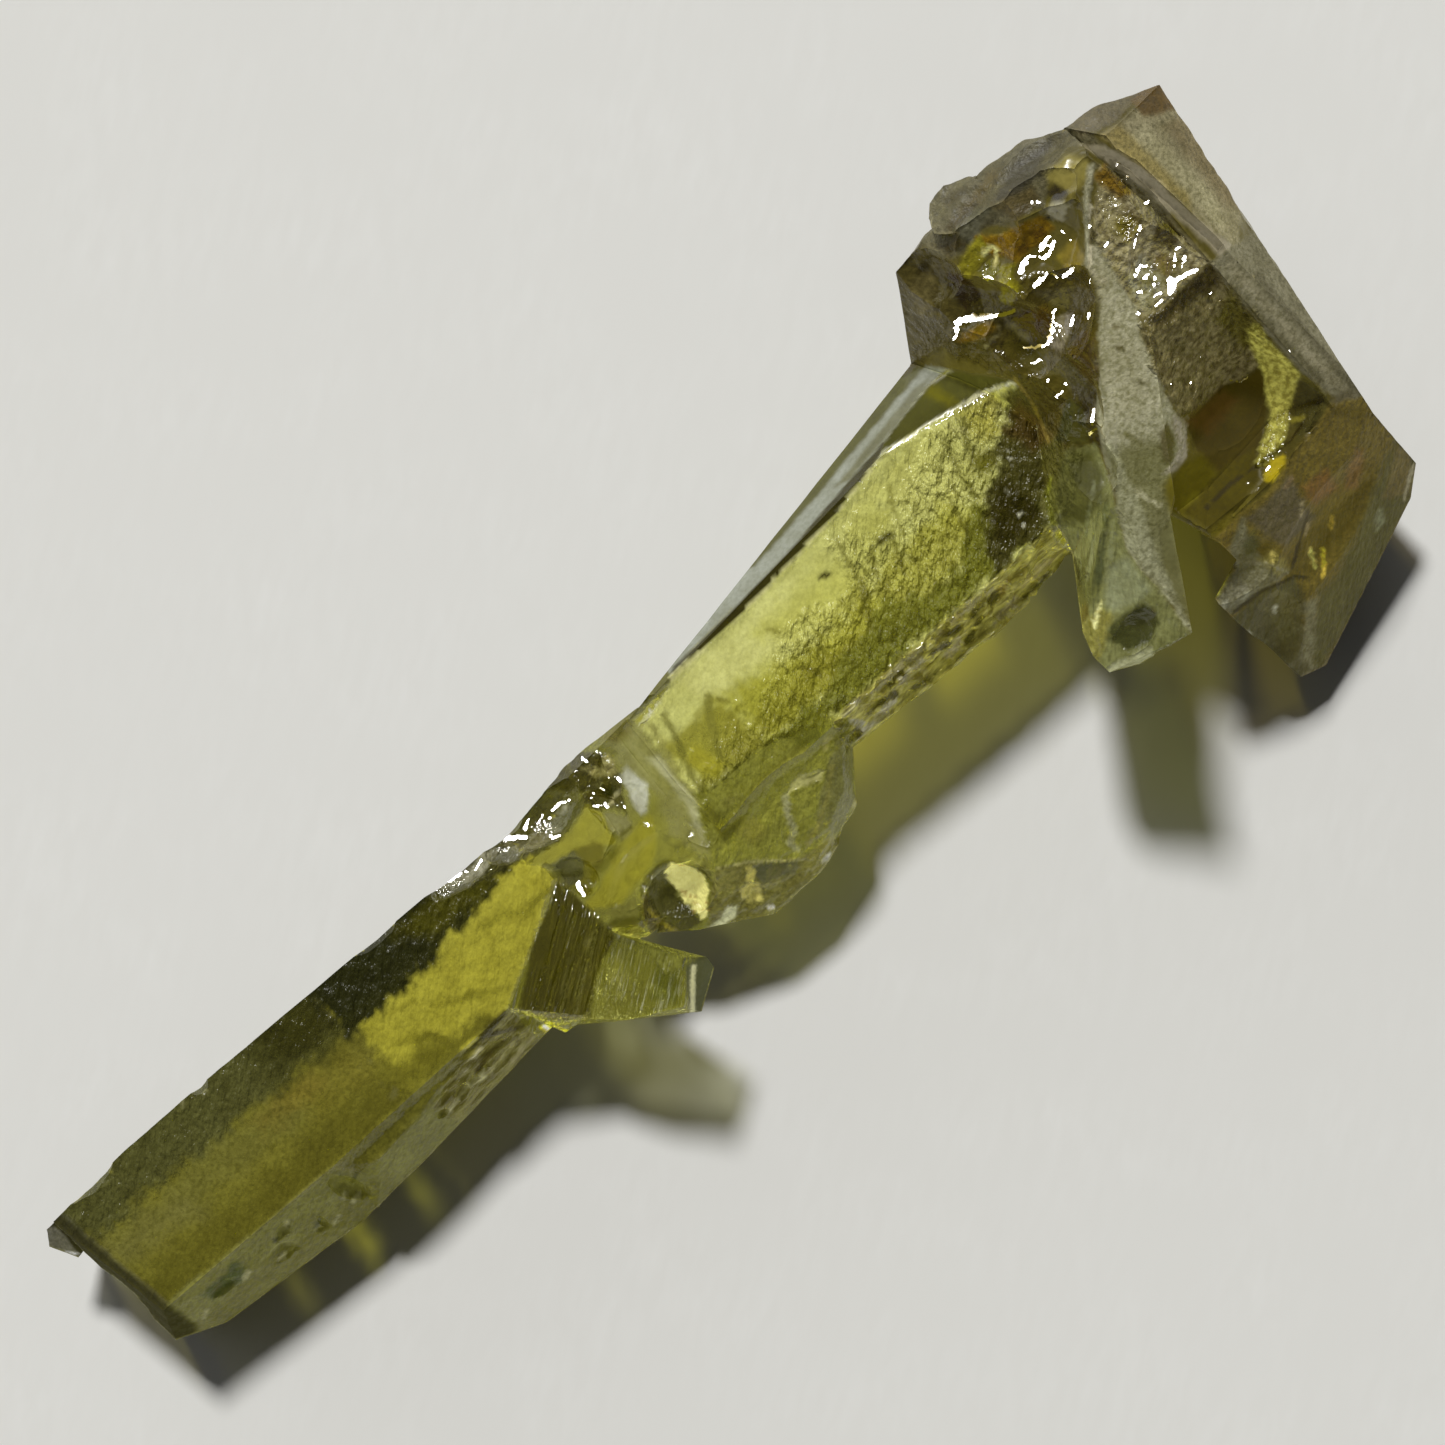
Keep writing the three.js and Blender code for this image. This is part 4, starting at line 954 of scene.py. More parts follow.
    # The next three lines are painted highlights along the face's upper edge.
    edge = (-0.3, 2.1, 3, 2.12, 5, 2.3, 7, 2.45, 9.2, 2.85)
    coat.line(edge, 0.08, 0.1, strength=0.85, colour=(216, 214, 150), frosting=0.85)
    coat.line(
        (9.2, 2.85, 11, 2.62, 12.4, 2.3), 0.07, 0.08, strength=0.4, colour=(190, 188, 120),
        rough=0.6,
    )
    coat.line(
        (12.2, 2.34, 12.9, 2.22, 13.4, 1.98, 13.8, 1.8), 0.08, 0.03, colour=(222, 220, 180),
        frosting=0.95, rough=0.6,
    )
    coat.line((11.9, 2.42, 11.4, 2.1, 11.7, 1.7), 0.12, 0.1, strength=0.6, colour=(200, 198, 130))
    # Painted glints: small bright specks.
    for route in (
        (12.2, 0.4, 12.25, 0.3), (12.1, 0.1, 12.2, 0.12), (11.45, -0.55, 11.4, -0.58),
        (11.2, -1.38, 11.25, -1.36), (11.1, -1.7, 11.12, -1.68), (12, -0.1, 12.02, -0.1),
        (-1.5, 1.65, -1.42, 1.85), (-1.2, 1.8, -1.05, 1.75),
    ):
        coat.line(route, 0.07, 0.03, colour=(214, 214, 190), frosting=0.95)


def paint_chips(coat):
    """The chipped edge along the shank's near side."""
    band = (2.5, -2.2, 5, -2.2, 7, -2.25, 9.6, -2.35, 11.6, -2.3, 11.6, -4.2, 2.4, -4.2)
    # The band gets a painted glow.
    coat.patch(
        band, 0.1, 0.12, None, tint=(0.3, 0.28, 0.12), rough=0.12, colour=(174, 170, 86),
        frosting=0.88, flaked=1, pebbled=0, glow=0.25,
    )
    # The first two rows are painted yellow highlights.
    for colour, *route in (
        ((0.8, 0.72, 0.15), 9.9, -2.5, 10.6, -2.45, 11.1, -2.5),
        ((0.62, 0.56, 0.2), 9.7, -3.1, 10.5, -3.05, 11.1, -3.15),
        ((0.42, 0.34, 0.08), 8.9, -2.8, 9.6, -2.7),
        ((0.6, 0.6, 0.5), 3, -2.6, 3.2, -2.9),
        ((0.55, 0.53, 0.38), 2.7, -3.15, 3.6, -3.15, 4.4, -3.1),
        ((0.46, 0.44, 0.3), 5, -2.75, 5.9, -2.7),
        ((0.42, 0.4, 0.24), 2.6, -2.4, 3.4, -2.35, 4.4, -2.45, 5.6, -2.4, 6.4, -2.45),
        ((0.46, 0.43, 0.22), 6.4, -2.5, 7.6, -2.45, 9, -2.5),
        ((0.5, 0.46, 0.28), 6.6, -3.1, 7.2, -3.05),
        ((0.4, 0.37, 0.22), 8.2, -3.4, 9.4, -3.3),
    ):
        coat.line(route, 0.15, 0.18, frost=colour, frosting=0.75)
    for route in (
        (2.6, -2.75, 2.9, -3.1), (3.6, -2.8, 4.6, -2.9), (6.2, -2.75, 6.9, -2.85),
        (7.4, -3.2, 8.2, -3), (5.2, -3.2, 5.9, -3.3), (8, -2.7, 9, -2.75), (4.6, -2.65, 5.2, -2.6),
        (9.6, -3.4, 10.6, -3.4), (7, -2.65, 7.5, -2.7),
    ):
        coat.line(route, 0.17, 0.16, colour=(60, 54, 22), frosting=0.8)


def paint_head(coat):
    whole = (
        11.8, 4.35, 13, 7.4, 16, 8.6, 20.8, 7.6, 24.2, 6.2, 22.9, 0, 22.6, -9.4, 15.2, -12.2, 13.2,
        -10.9, 13.2, -8.6, 9.2, -8.2, 9.2, -5.6, 11.7, -3.2, 13.9, -1.2, 13.9, 1.8, 12.8, 3.2,
    )
    coat.patch(
        whole, 0.15, 0.08, None, tint=(0.16, 0.12, 0.045), rough=0.1, colour=(88, 81, 40),
        frosting=0.92, let_in=(0.1, 0.08, 0.045), pebbled=0,
    )
    far_cheek = (11.4, 4.2, 12.9, 7.6, 15.2, 7.4, 14.9, 5.6, 14.9, 4.4, 13.2, 4.1)
    coat.patch(
        far_cheek, 0.2, 0.1, None, tint=(0.1, 0.08, 0.04), colour=(78, 71, 38), frosting=0.94,
        broken=0.5, rough=0.1,
    )
    coat.patch((13, 5.2, 13.4, 6.2, 14.6, 6.4, 14, 5.6), 0.3, 0.15, colour=(94, 86, 52))
    coat.patch(
        (14.2, 4.4, 14.3, 5.4, 14.6, 5.8, 14.9, 5.2, 14.9, 4.5), 0.15, 0.1, colour=(52, 40, 24),
        frosting=0.8,
    )
    coat.line((13.9, 6.3, 14.7, 6.45), 0.25, 0.1, strength=0.7, colour=(50, 44, 22))
    core = (
        12.9, 4.2, 15, 4.4, 15.8, 4.2, 17.9, 3.2, 17.9, 2, 16.9, 1.2, 16, 0.1, 15.2, -0.6, 14.5,
        -1.6, 13.6, -0.8, 13.9, 1.8, 13.2, 3.2,
    )
    coat.patch(
        core, 0.15, 0.15, tint=(0.09, 0.07, 0.03), colour=(76, 68, 32), frosting=0.86, broken=0.6,
        rough=0.08,
    )
    for colour, *outline in (
        ((74, 54, 22), 15.1, 3.3, 16.2, 2.9, 16, 2.3, 15.3, 2.3, 15, 2.8),
        ((80, 66, 32), 15.6, 1.3, 16.3, 1.5, 17, 1.4, 16.2, 0.4, 15.7, 0, 15.5, 0.5),
        ((96, 90, 62), 14.5, 2.2, 15.2, 1.9, 15.5, 1.2, 15.6, 0.4, 15.2, -0.1, 14.9, 0.1, 15.1,
         0.9, 14.6, 1.5),
        ((58, 60, 36), 13.5, -0.4, 14.8, 0.3, 14.9, -0.3, 14.3, -1.2),
        ((88, 82, 56), 16.2, 3.5, 17.2, 2.8, 17.6, 2.2, 17, 1.9, 16.4, 2.7),
        ((126, 98, 26), 13.4, 3.9, 14.2, 3.9, 14.7, 3.6, 14.5, 3.35, 13.8, 3.6),
        ((140, 124, 52), 17.5, 3.8, 18.3, 3.9, 18.1, 3.2, 17.7, 3, 17.4, 3.4),
    ):
        coat.patch(outline, 0.16, 0.12, colour=colour, frosting=0.72)
    coat.line((14.95, 3.4, 15, 3, 15.05, 2.6), 0.24, 0.08, colour=(116, 110, 84), frosting=0.75)
    coat.line((13.9, 3.2, 14.5, 3.25, 14.9, 3.6), 0.08, 0.04, colour=(130, 124, 84), frosting=0.75)
    coat.line(
        (13.93, 1.9, 13.85, 1, 13.6, 0.2, 13.4, -0.3), 0.09, 0.03, colour=(122, 106, 52),
        frosting=0.75,
    )
    coat.patch(
        (15.5, 1.95, 16.2, 2.4, 16.6, 2.2, 16, 1.7, 15.5, 1.5), 0.14, 0.12, colour=(146, 138, 116),
        frosting=0.75,
    )
    cap = (
        14.8, 7.6, 15.2, 8.2, 17.3, 8, 19.3, 7.7, 20.9, 7, 20.8, 5.6, 20.3, 5.9, 20, 6.1, 18.9,
        5.9, 18.2, 5.2, 17.6, 5.5, 16.9, 5.7, 16.2, 6.1, 15, 5.9, 14.6, 6.4,
    )
    coat.patch(
        cap, 0.16, 0.12, None, tint=(0.14, 0.12, 0.085), colour=(104, 99, 74), frosting=0.96,
        rough=0.5, gritty=1, broken=0.35,
    )
    for colour, *outline in (
        ((122, 117, 88), 15, 7, 15.3, 7.8, 16.2, 7.9, 17.2, 7.4, 16, 7.2),
        ((106, 104, 84), 15, 6.2, 16.4, 6.7, 16.9, 6.3, 16, 5.95, 15.2, 5.9),
        ((102, 92, 60), 15.4, 6.75, 17.6, 7.2, 18, 7, 17, 6.7, 15.6, 6.6),
        ((80, 76, 62), 17.2, 6.4, 18.6, 6.9, 19.6, 6.6, 18.6, 6.1, 17.6, 5.9),
        ((144, 134, 72), 18.9, 5.9, 19.8, 6.05, 20.15, 5.5, 20, 5, 19.1, 5),
        ((76, 68, 42), 14.8, 6.7, 15.6, 6.5, 15.6, 6, 14.9, 6),
        ((90, 80, 50), 17, 6.3, 18.3, 6, 18.3, 5.4, 17.2, 5.5),
        ((88, 82, 58), 16, 7.6, 16.9, 7.4, 16.7, 7.1, 15.9, 7.2),
        ((118, 114, 94), 18.2, 7.2, 19.8, 7.1, 19.6, 6.8, 18.3, 6.9),
    ):
        coat.patch(outline, 0.25, 0.15, colour=colour)
    coat.line((15.4, 6.75, 15.9, 6.65, 16.6, 6.7), 0.2, 0.14, strength=0.7, colour=(66, 58, 34))
    coat.patch(
        (18.5, 5.5, 18.9, 5.5, 19, 5.1, 18.6, 5.1), 0.15, 0.1, colour=(52, 46, 34), frosting=0.85,
    )
    amber = (
        16, 5.95, 16.5, 5.6, 17.2, 5.3, 17.9, 5.1, 18, 4.6, 17.4, 4.45, 16.4, 4.55, 16.2, 5, 15.9,
        5.4,
    )
    coat.patch(
        amber, 0.16, 0.15, tint=(0.3, 0.2, 0.04), colour=(122, 96, 26), frosting=0.85, rough=0.08,
        gritty=0, broken=0.6,
    )
    for x in (
        16.7, 17.35,
    ):
        coat.patch(
            (x, 4.9, x + 0.4, 4.8, x + 0.3, 4.55, x - 0.1, 4.6), 0.15, 0.08, colour=(86, 62, 20),
            frosting=0.75,
        )
    for colour, *outline in (
        ((134, 128, 38), 14.9, 5.6, 15.5, 5.8, 16.1, 5.9, 16, 5.4, 15.2, 5.1, 14.9, 5.2),
        ((132, 126, 34), 15.9, 4.8, 16.35, 4.5, 16, 4.2, 15.95, 3.8, 15.4, 3.65, 15.2, 4, 15.5,
         4.3),
        ((98, 96, 46), 15.2, 5.1, 15.9, 5.1, 16, 4.8, 15.4, 4.6),
    ):
        coat.patch(
            outline, 0.12, 0.12, tint=(0.5, 0.45, 0.1), colour=colour, frosting=0.8, broken=0.6,
            rough=0.08,
        )
    coat.patch(
        (18, 5, 18.5, 5.15, 18.75, 4.8, 18.3, 4.6), 0.12, 0.15, colour=(152, 148, 122),
        frosting=0.75,
    )
    # Painted cream glints.
    for route in ((15.8, 5.42, 16.2, 5.42, 16.2, 5.2), (15.8, 4.9, 16, 5, 16.1, 5.15)):
        coat.line(route, 0.09, 0.06, colour=(226, 218, 140), frosting=0.9)
    for width, *route in (
        (0.28, 13.85, 4.36, 14.2, 4.18, 14.6, 3.86), (0.2, 14.6, 3.86, 15, 3.58, 15.35, 3.46),
        (0.13, 13.58, 4.2, 13.72, 4.4), (0.08, 13.3, 4.05, 13.5, 4.08),
        (0.12, 15.3, 4.8, 15.5, 4.65), (0.25, 16.25, 4.2, 16.6, 4.36),
        (0.1, 16.7, 4.42, 16.9, 4.35, 17.05, 4.15), (0.18, 17.2, 4.32, 17.7, 4.46),
        (0.16, 17.1, 4.05, 17.4, 4.05, 17.7, 4.25), (0.15, 16.3, 3.6, 16.7, 3.62, 17.05, 3.68),
        (0.07, 17, 3.55, 17, 3.3), (0.2, 17.2, 3.2, 17.6, 3.2),
        (0.12, 14.78, 2.4, 15, 2.2, 15.3, 2.02), (0.08, 14.6, 1.87, 14.95, 1.76),
        (0.13, 15.4, 1.98, 15.8, 2.25, 16.25, 2.62), (0.08, 15.55, 1.98, 16.05, 2.3),
        (0.07, 15.7, 1.95, 16.15, 2.15), (0.07, 16.35, 1.92, 16.6, 2.12),
        (0.13, 14.5, 0.6, 15, 0.65), (0.1, 14.6, 1.1, 14.66, 1.1), (0.1, 14.5, -0.95, 14.8, -1),
        (0.15, 14.75, -0.8, 15.1, -0.5), (0.1, 18.05, 4.15, 18.1, 4.3),
        (0.1, 18.1, 3.9, 18.2, 3.85), (0.06, 17.8, 5.75, 18.2, 5.4), (0.08, 16.6, 5.7, 16.7, 5.65),
        (0.12, 17.65, 2.55, 17.75, 2.62), (0.11, 16.9, 1.75, 17, 1.8),
    ):
        coat.glint(route, width)


def paint_crest(coat):
    crest = (
        20.3, 5.2, 19.2, 4.3, 18.6, 3.6, 18.5, 2.5, 18.2, 1, 17.8, 0.4, 17.5, -0.6, 17.1, -1.6,
        16.9, -2.3, 16.9, -2.8, 16.2, -3.5, 15.5, -3.5, 15, -3.9, 14.7, -4.6, 14, -4.8, 13.5, -5.6,
        12.75, -7.8, 12.95, -6.2, 12.9, -5.2, 13, -4.4, 13.5, -3.5, 14.1, -2.4, 14.5, -1.5, 15.1,
        -0.6, 16, 0.2, 16.9, 1.3, 17.9, 2.1, 17.9, 3, 18.5, 3.7, 19.2, 4.5, 20.1, 5.3,
    )
    slope = (20.3, 5, 20.8, 4.4, 20.9, 0.5, 18.1, 0.4, 18.4, 2.5, 18.6, 3.5)
    lower = (14.6, -1.8, 16.6, -2.8, 15, -4.6, 12.6, -8, 13.1, -4.4)
    coat.patch(
        slope, 0.15, 0.12, tint=(0.25, 0.21, 0.11), colour=(160, 152, 118), frosting=0.85,
        broken=1, rough=0.12,
    )
    # The last, lightest patch paints the glitter of tiny highlights there.
    for colour, *outline in (
        ((134, 106, 38), 20, 4.9, 20.5, 4.9, 20.6, 3.6, 20.1, 3.8, 19.9, 4.3),
        ((124, 112, 54), 19.3, 3.4, 20, 3.4, 20.3, 2.9, 19.6, 2.6, 19.3, 2.8),
        ((84, 76, 50), 19.9, 2.2, 20.8, 2.6, 20.8, 1.8, 20.3, 1.5),
        ((108, 104, 84), 20.5, 4.8, 20.95, 4.8, 21, 2.6, 20.6, 2.4),
        ((140, 124, 92), 19.4, 1.6, 19.9, 1.7, 20, 1.2, 19.6, 1),
        ((170, 168, 146), 18.5, 2, 19.4, 2.1, 19.5, 1, 18.4, 0.6),
    ):
        coat.patch(outline, 0.2, 0.2, colour=colour, frosting=0.7)
    # The crest gets a faint painted glow.
    coat.patch(
        crest, 0.1, 0.07, tint=(0.3, 0.28, 0.2), colour=(158, 156, 130), frosting=0.93, rough=0.6,
        gritty=1, head_ribs=0.3, broken=0.15, glow=0.12,
    )
    coat.patch(lower, 0.6, 0.2, colour=(110, 109, 72), strength=0.9)
    top = (15.4, -1.2, 16, 0.2, 16.9, 1.3, 17.9, 2.1, 18.2, 1, 17.8, 0.4, 17.5, -0.6, 16.8, -2)
    coat.patch(top, 0.5, 0.3, colour=(168, 165, 138), strength=0.8)
    neck = (17.6, 1.8, 18.4, 2.1, 18.7, 3.5, 18, 3.1)
    coat.patch(neck, 0.3, 0.1, colour=(164, 161, 134))
    left_light = (
        14.6, -1.5, 14.1, -2.4, 13.5, -3.5, 13, -4.4, 12.95, -5.4, 13.1, -6.6, 12.75, -7.7, 13.3,
        -6, 13.6, -5, 14.1, -4, 14.5, -2.8, 14.9, -1.6,
    )
    coat.patch(left_light, 0.14, 0.06, colour=(148, 148, 118))
    for colour, *route in (
        ((92, 86, 60), 16.9, 0.45, 17.05, 0.3),
        ((88, 84, 60), 16.7, -0.7, 16.85, -1),
        ((108, 102, 76), 17.3, 1, 17.4, 0.9),
        ((112, 110, 80), 15.3, -1.6, 15.5, -2.3),
        ((172, 170, 140), 14.4, -3.2, 14.5, -3.7, 14.65, -4.1),
        ((172, 166, 140), 18, 2.2, 18, 2.9, 18.7, 3.6, 19.3, 4.3),
        ((90, 84, 56), 18.5, 3.4, 19.2, 4.1),
        ((168, 168, 138), 13, -5.8, 12.8, -7.4),
    ):
        coat.line(route, 0.12, 0.08, colour=colour, frosting=0.85)
    gash = (15.6, -3.2, 15.9, -2.65, 16.2, -2.35, 16.55, -2.35, 16.3, -2.9, 15.8, -3.35)
    lip = (
        15.4, -3.45, 15.8, -3.7, 16.3, -3.55, 16.95, -2.7, 16.85, -2.2, 16.6, -2.5, 16.3, -3.1,
        15.9, -3.35,
    )
    # The gash is painted dark, as painted shade in the hollow.
    coat.patch(gash, 0.1, 0.08, colour=(84, 78, 54), frosting=0.85)
    coat.patch(lip, 0.08, 0.06, colour=(158, 152, 136), frosting=0.9)
    for width, *route in (
        (0.2, 19.3, 0.62, 19.7, 0.8, 20.4, 0.6), (0.24, 19.45, 0.7, 19.6, 0.95),
        (0.14, 18.8, 1.75, 19.2, 1.85, 19.35, 1.7), (0.12, 18.95, 1.5, 19.2, 1.45),
        (0.12, 18.6, 1.3, 18.7, 1.2), (0.12, 19.1, 1.15, 19.3, 1.3), (0.14, 18.6, 0.65, 19, 0.6),
        (0.1, 18.8, 0.9, 19.1, 0.8), (0.12, 18.15, 0.78, 18.2, 0.8),
        (0.09, 19.9, 1.1, 20.2, 1.4, 20.6, 1.6), (0.14, 20.15, 0.95, 20.4, 1.15),
        (0.1, 19.8, 2.65, 20, 2.78), (0.06, 19.4, 2.4, 19.7, 2.6), (0.11, 18.3, 2.6, 18.4, 2.62),
        (0.11, 18.8, 3.05, 18.88, 3.08), (0.11, 18.82, 3.85, 18.9, 3.85),
        (0.1, 19.85, 3.8, 19.9, 3.8), (0.12, 20.65, 4.15, 20.8, 4.2),
        (0.13, 20.6, 3.2, 20.75, 3.22), (0.1, 20.7, 4.65, 20.8, 4.68),
        (0.1, 20.2, -0.2, 20.25, -0.25),
    ):
        coat.glint(route, width)


def paint_back(coat):
    """The plate along the head's far side."""
    wedge = (21, 5.7, 22.2, 5.6, 24, 5.6, 23.2, 3.5, 22.6, 1, 21.8, 0.2, 21.5, 2, 21.2, 4.2)
    upper = (20.3, 7.2, 21.3, 7, 23.8, 5.9, 21.6, 5.7, 20.5, 6.1)
    corner = (22.4, 5.9, 24, 5.9, 23.6, 4.6, 22.9, 4.9, 22.4, 5.3)
    seam = (20.3, 6, 20.9, 5.4, 21.3, 4, 21.5, 2, 21.8, 0.1, 21.2, 0.3, 21, 2.5, 20.7, 4.5)
    ledge = (20.75, 0.5, 22.6, 0.3, 22.3, -3, 22.3, -8.8, 21.5, -8.4, 21.1, -6, 20.7, -4, 20.7, -1)
    coat.patch(
        wedge, 0.15, 0.08, None, tint=(0.35, 0.31, 0.2), colour=(144, 137, 106), frosting=0.92,
        rough=0.6, gritty=1,
    )
    coat.patch((21.4, 5.2, 22.2, 5, 22.4, 2, 21.9, 1, 21.7, 2.4), 0.3, 0.1, colour=(160, 154, 120))
    coat.patch(
        (21, 5.7, 21.7, 5.6, 21.8, 2.6, 21.5, 2), 0.3, 0.1, strength=0.7, colour=(140, 124, 62),
    )
    coat.patch(
        (22.6, 4.6, 23.8, 4.6, 22.9, 0.8, 22.4, 1.4), 0.4, 0.1, strength=0.7,
        colour=(116, 102, 70),
    )
    coat.patch(upper, 0.12, 0.06, None, colour=(112, 104, 78), frosting=0.85, rough=0.4, gritty=1)
    coat.patch(corner, 0.2, 0.08, tint=(0.4, 0.28, 0.08), colour=(110, 86, 40), frosting=0.55)
    # The seam and the ledge get a painted glow.
    coat.patch(
        seam, 0.12, 0.08, None, tint=(0.12, 0.1, 0.05), colour=(112, 106, 88), frosting=1,
        glow=0.8, rough=0.3,
    )
    coat.patch(
        ledge, 0.12, 0.06, None, tint=(0.25, 0.22, 0.15), colour=(118, 114, 92), frosting=0.92,
        rough=0.7, gritty=1, glow=0.2,
    )
    coat.line((21.25, 0, 21.3, -2, 21.25, -4.6, 21.4, -5.6), 0.3, 0.08, colour=(128, 123, 100))
    coat.line((20.85, -0.5, 20.95, -4.5), 0.2, 0.08, colour=(92, 88, 66))
    coat.line((21.7, -0.8, 21.6, -5.5, 21.5, -8), 0.2, 0.06, colour=(98, 94, 74))
    coat.patch((20.7, -5.2, 21.5, -5.3, 21.5, -8.2, 21, -7), 0.25, 0.1, colour=(94, 88, 66))
    coat.glint((20.83, -3.25, 20.88, -3.22), 0.12, 0.02)


def paint_bowl(coat):
    wall = (18, 0.45, 20.85, 0.5, 20.75, -2.1, 19.9, -3, 18, -2.7, 17, -2.4, 17.3, -1, 17.7, 0.2)
    floor_of_bowl = (
        16.95, -2.75, 18.6, -2.6, 19.3, -2.9, 19.9, -2.9, 19.5, -3.8, 18.9, -4.3, 18, -5, 16.6,
        -4.95, 16.4, -4.2, 16.7, -3.5,
    )
    amber = (14.7, -4.4, 15.1, -3.7, 16, -3.5, 16.7, -3.8, 16.6, -5, 15.1, -5.3)
    rim = (
        20.3, -1.9, 20.65, -1.9, 20.6, -4, 19.8, -4.5, 18.9, -5.2, 18, -5.35, 17.6, -5.2, 18.4,
        -4.75, 19.1, -4.2, 19.7, -3.4, 19.9, -2.8,
    )
    # The bowl's skins get a painted glow, for lamp light that the crest and the ledge keep off.
    coat.patch(
        wall, 0.15, 0.15, 0.02, tint=(0.12, 0.1, 0.06), colour=(114, 106, 72), frosting=0.97,
        rough=0.2, gritty=1, broken=1, pebbled=0.9, glow=0.5,
    )
    coat.patch((18.2, 0.5, 20.8, 0.5, 20.8, -0.2, 18.4, 0), 0.3, 0.15, 0.02, colour=(66, 58, 34))
    coat.patch(
        (19.8, -0.9, 20.8, -0.6, 20.7, -2, 19.9, -2.2), 0.35, 0.2, 0.02, colour=(92, 86, 40),
    )
    coat.patch(
        floor_of_bowl, 0.12, 0.05, 0, colour=(61, 53, 19), frosting=1, rough=1, broken=0.05,
        gritty=0.3, glow=0.5,
    )
    coat.patch((17, -2.7, 18.5, -2.7, 18.7, -3.3, 17.2, -3.5), 0.4, 0.1, 0, colour=(74, 58, 26))
    coat.patch(
        amber, 0.3, 0.1, 0, colour=(88, 81, 20), frosting=1, broken=0.1, rough=0.8, glow=0.35,
    )
    coat.patch((15.1, -4.7, 15.7, -4.5, 16.3, -5.1, 15.5, -5.5), 0.3, 0.1, 0, colour=(98, 92, 22))
    band = (15, -5.2, 16.4, -5.15, 17.7, -5.2, 17.5, -5.7, 16.6, -6, 15.2, -6.2)
    coat.patch(
        band, 0.2, 0.15, None, colour=(94, 86, 26), frosting=1, broken=0.4, rough=0.6, glow=0.2,
    )
    ledge = (15.1, -4.7, 17, -4.55, 18, -4.7, 17.9, -5.2, 17.3, -5.7, 15.2, -5.8)
    coat.patch(
        ledge, 0.2, 0.15, None, tint=(0.12, 0.1, 0.03), colour=(80, 72, 22), frosting=1,
        broken=0.2, rough=1, glow=0.15,
    )
    coat.patch(
        rim, 0.12, 0.12, 0, tint=(0.5, 0.44, 0.1), colour=(164, 160, 78), frosting=0.92,
        rough=0.12, broken=1, spur_ribs=0.8, glow=0.65,
    )
    dim_wedge = (19.9, -4.4, 20.7, -4.1, 20.8, -5.2, 20, -5.6, 19.2, -5.4)
    coat.patch(dim_wedge, 0.15, 0.1, None, colour=(82, 78, 42), frosting=0.8, broken=0.5)
    coat.line((19.5, -4.9, 19.8, -5.05), 0.16, 0.08, colour=(146, 138, 56), frosting=0.8)
    coat.line(
        (15.4, -5.15, 16.6, -5.05, 17.8, -5.2, 18.9, -5.3, 19.6, -5.2), 0.1, 0.08,
        colour=(48, 40, 14), frosting=0.8,
    )
    bright = (17.5, -5.75, 17.75, -5.5, 18.2, -5.38, 18.6, -5.5, 18.4, -5.8, 17.8, -5.92)
    coat.patch(bright, 0.08, 0.06, None, colour=(196, 176, 40), frosting=0.9)
    for width, *route in (
        (0.08, 17.8, -5.5, 18, -5.48), (0.08, 17.1, -5.38, 17.2, -5.4),
        (0.09, 18.85, -2.65, 19.1, -2.93, 19.5, -2.97), (0.08, 19.4, -2.5, 19.75, -2.62),
        (0.1, 17.4, -1.5, 17.5, -1.55), (0.08, 18.4, -2.2, 18.5, -2.15),
        (0.08, 17.9, -1.9, 18, -1.9), (0.08, 18.6, -1.5, 18.7, -1.5),
        (0.09, 20.3, -0.6, 20.35, -0.65),
    ):
        coat.glint(route, width)


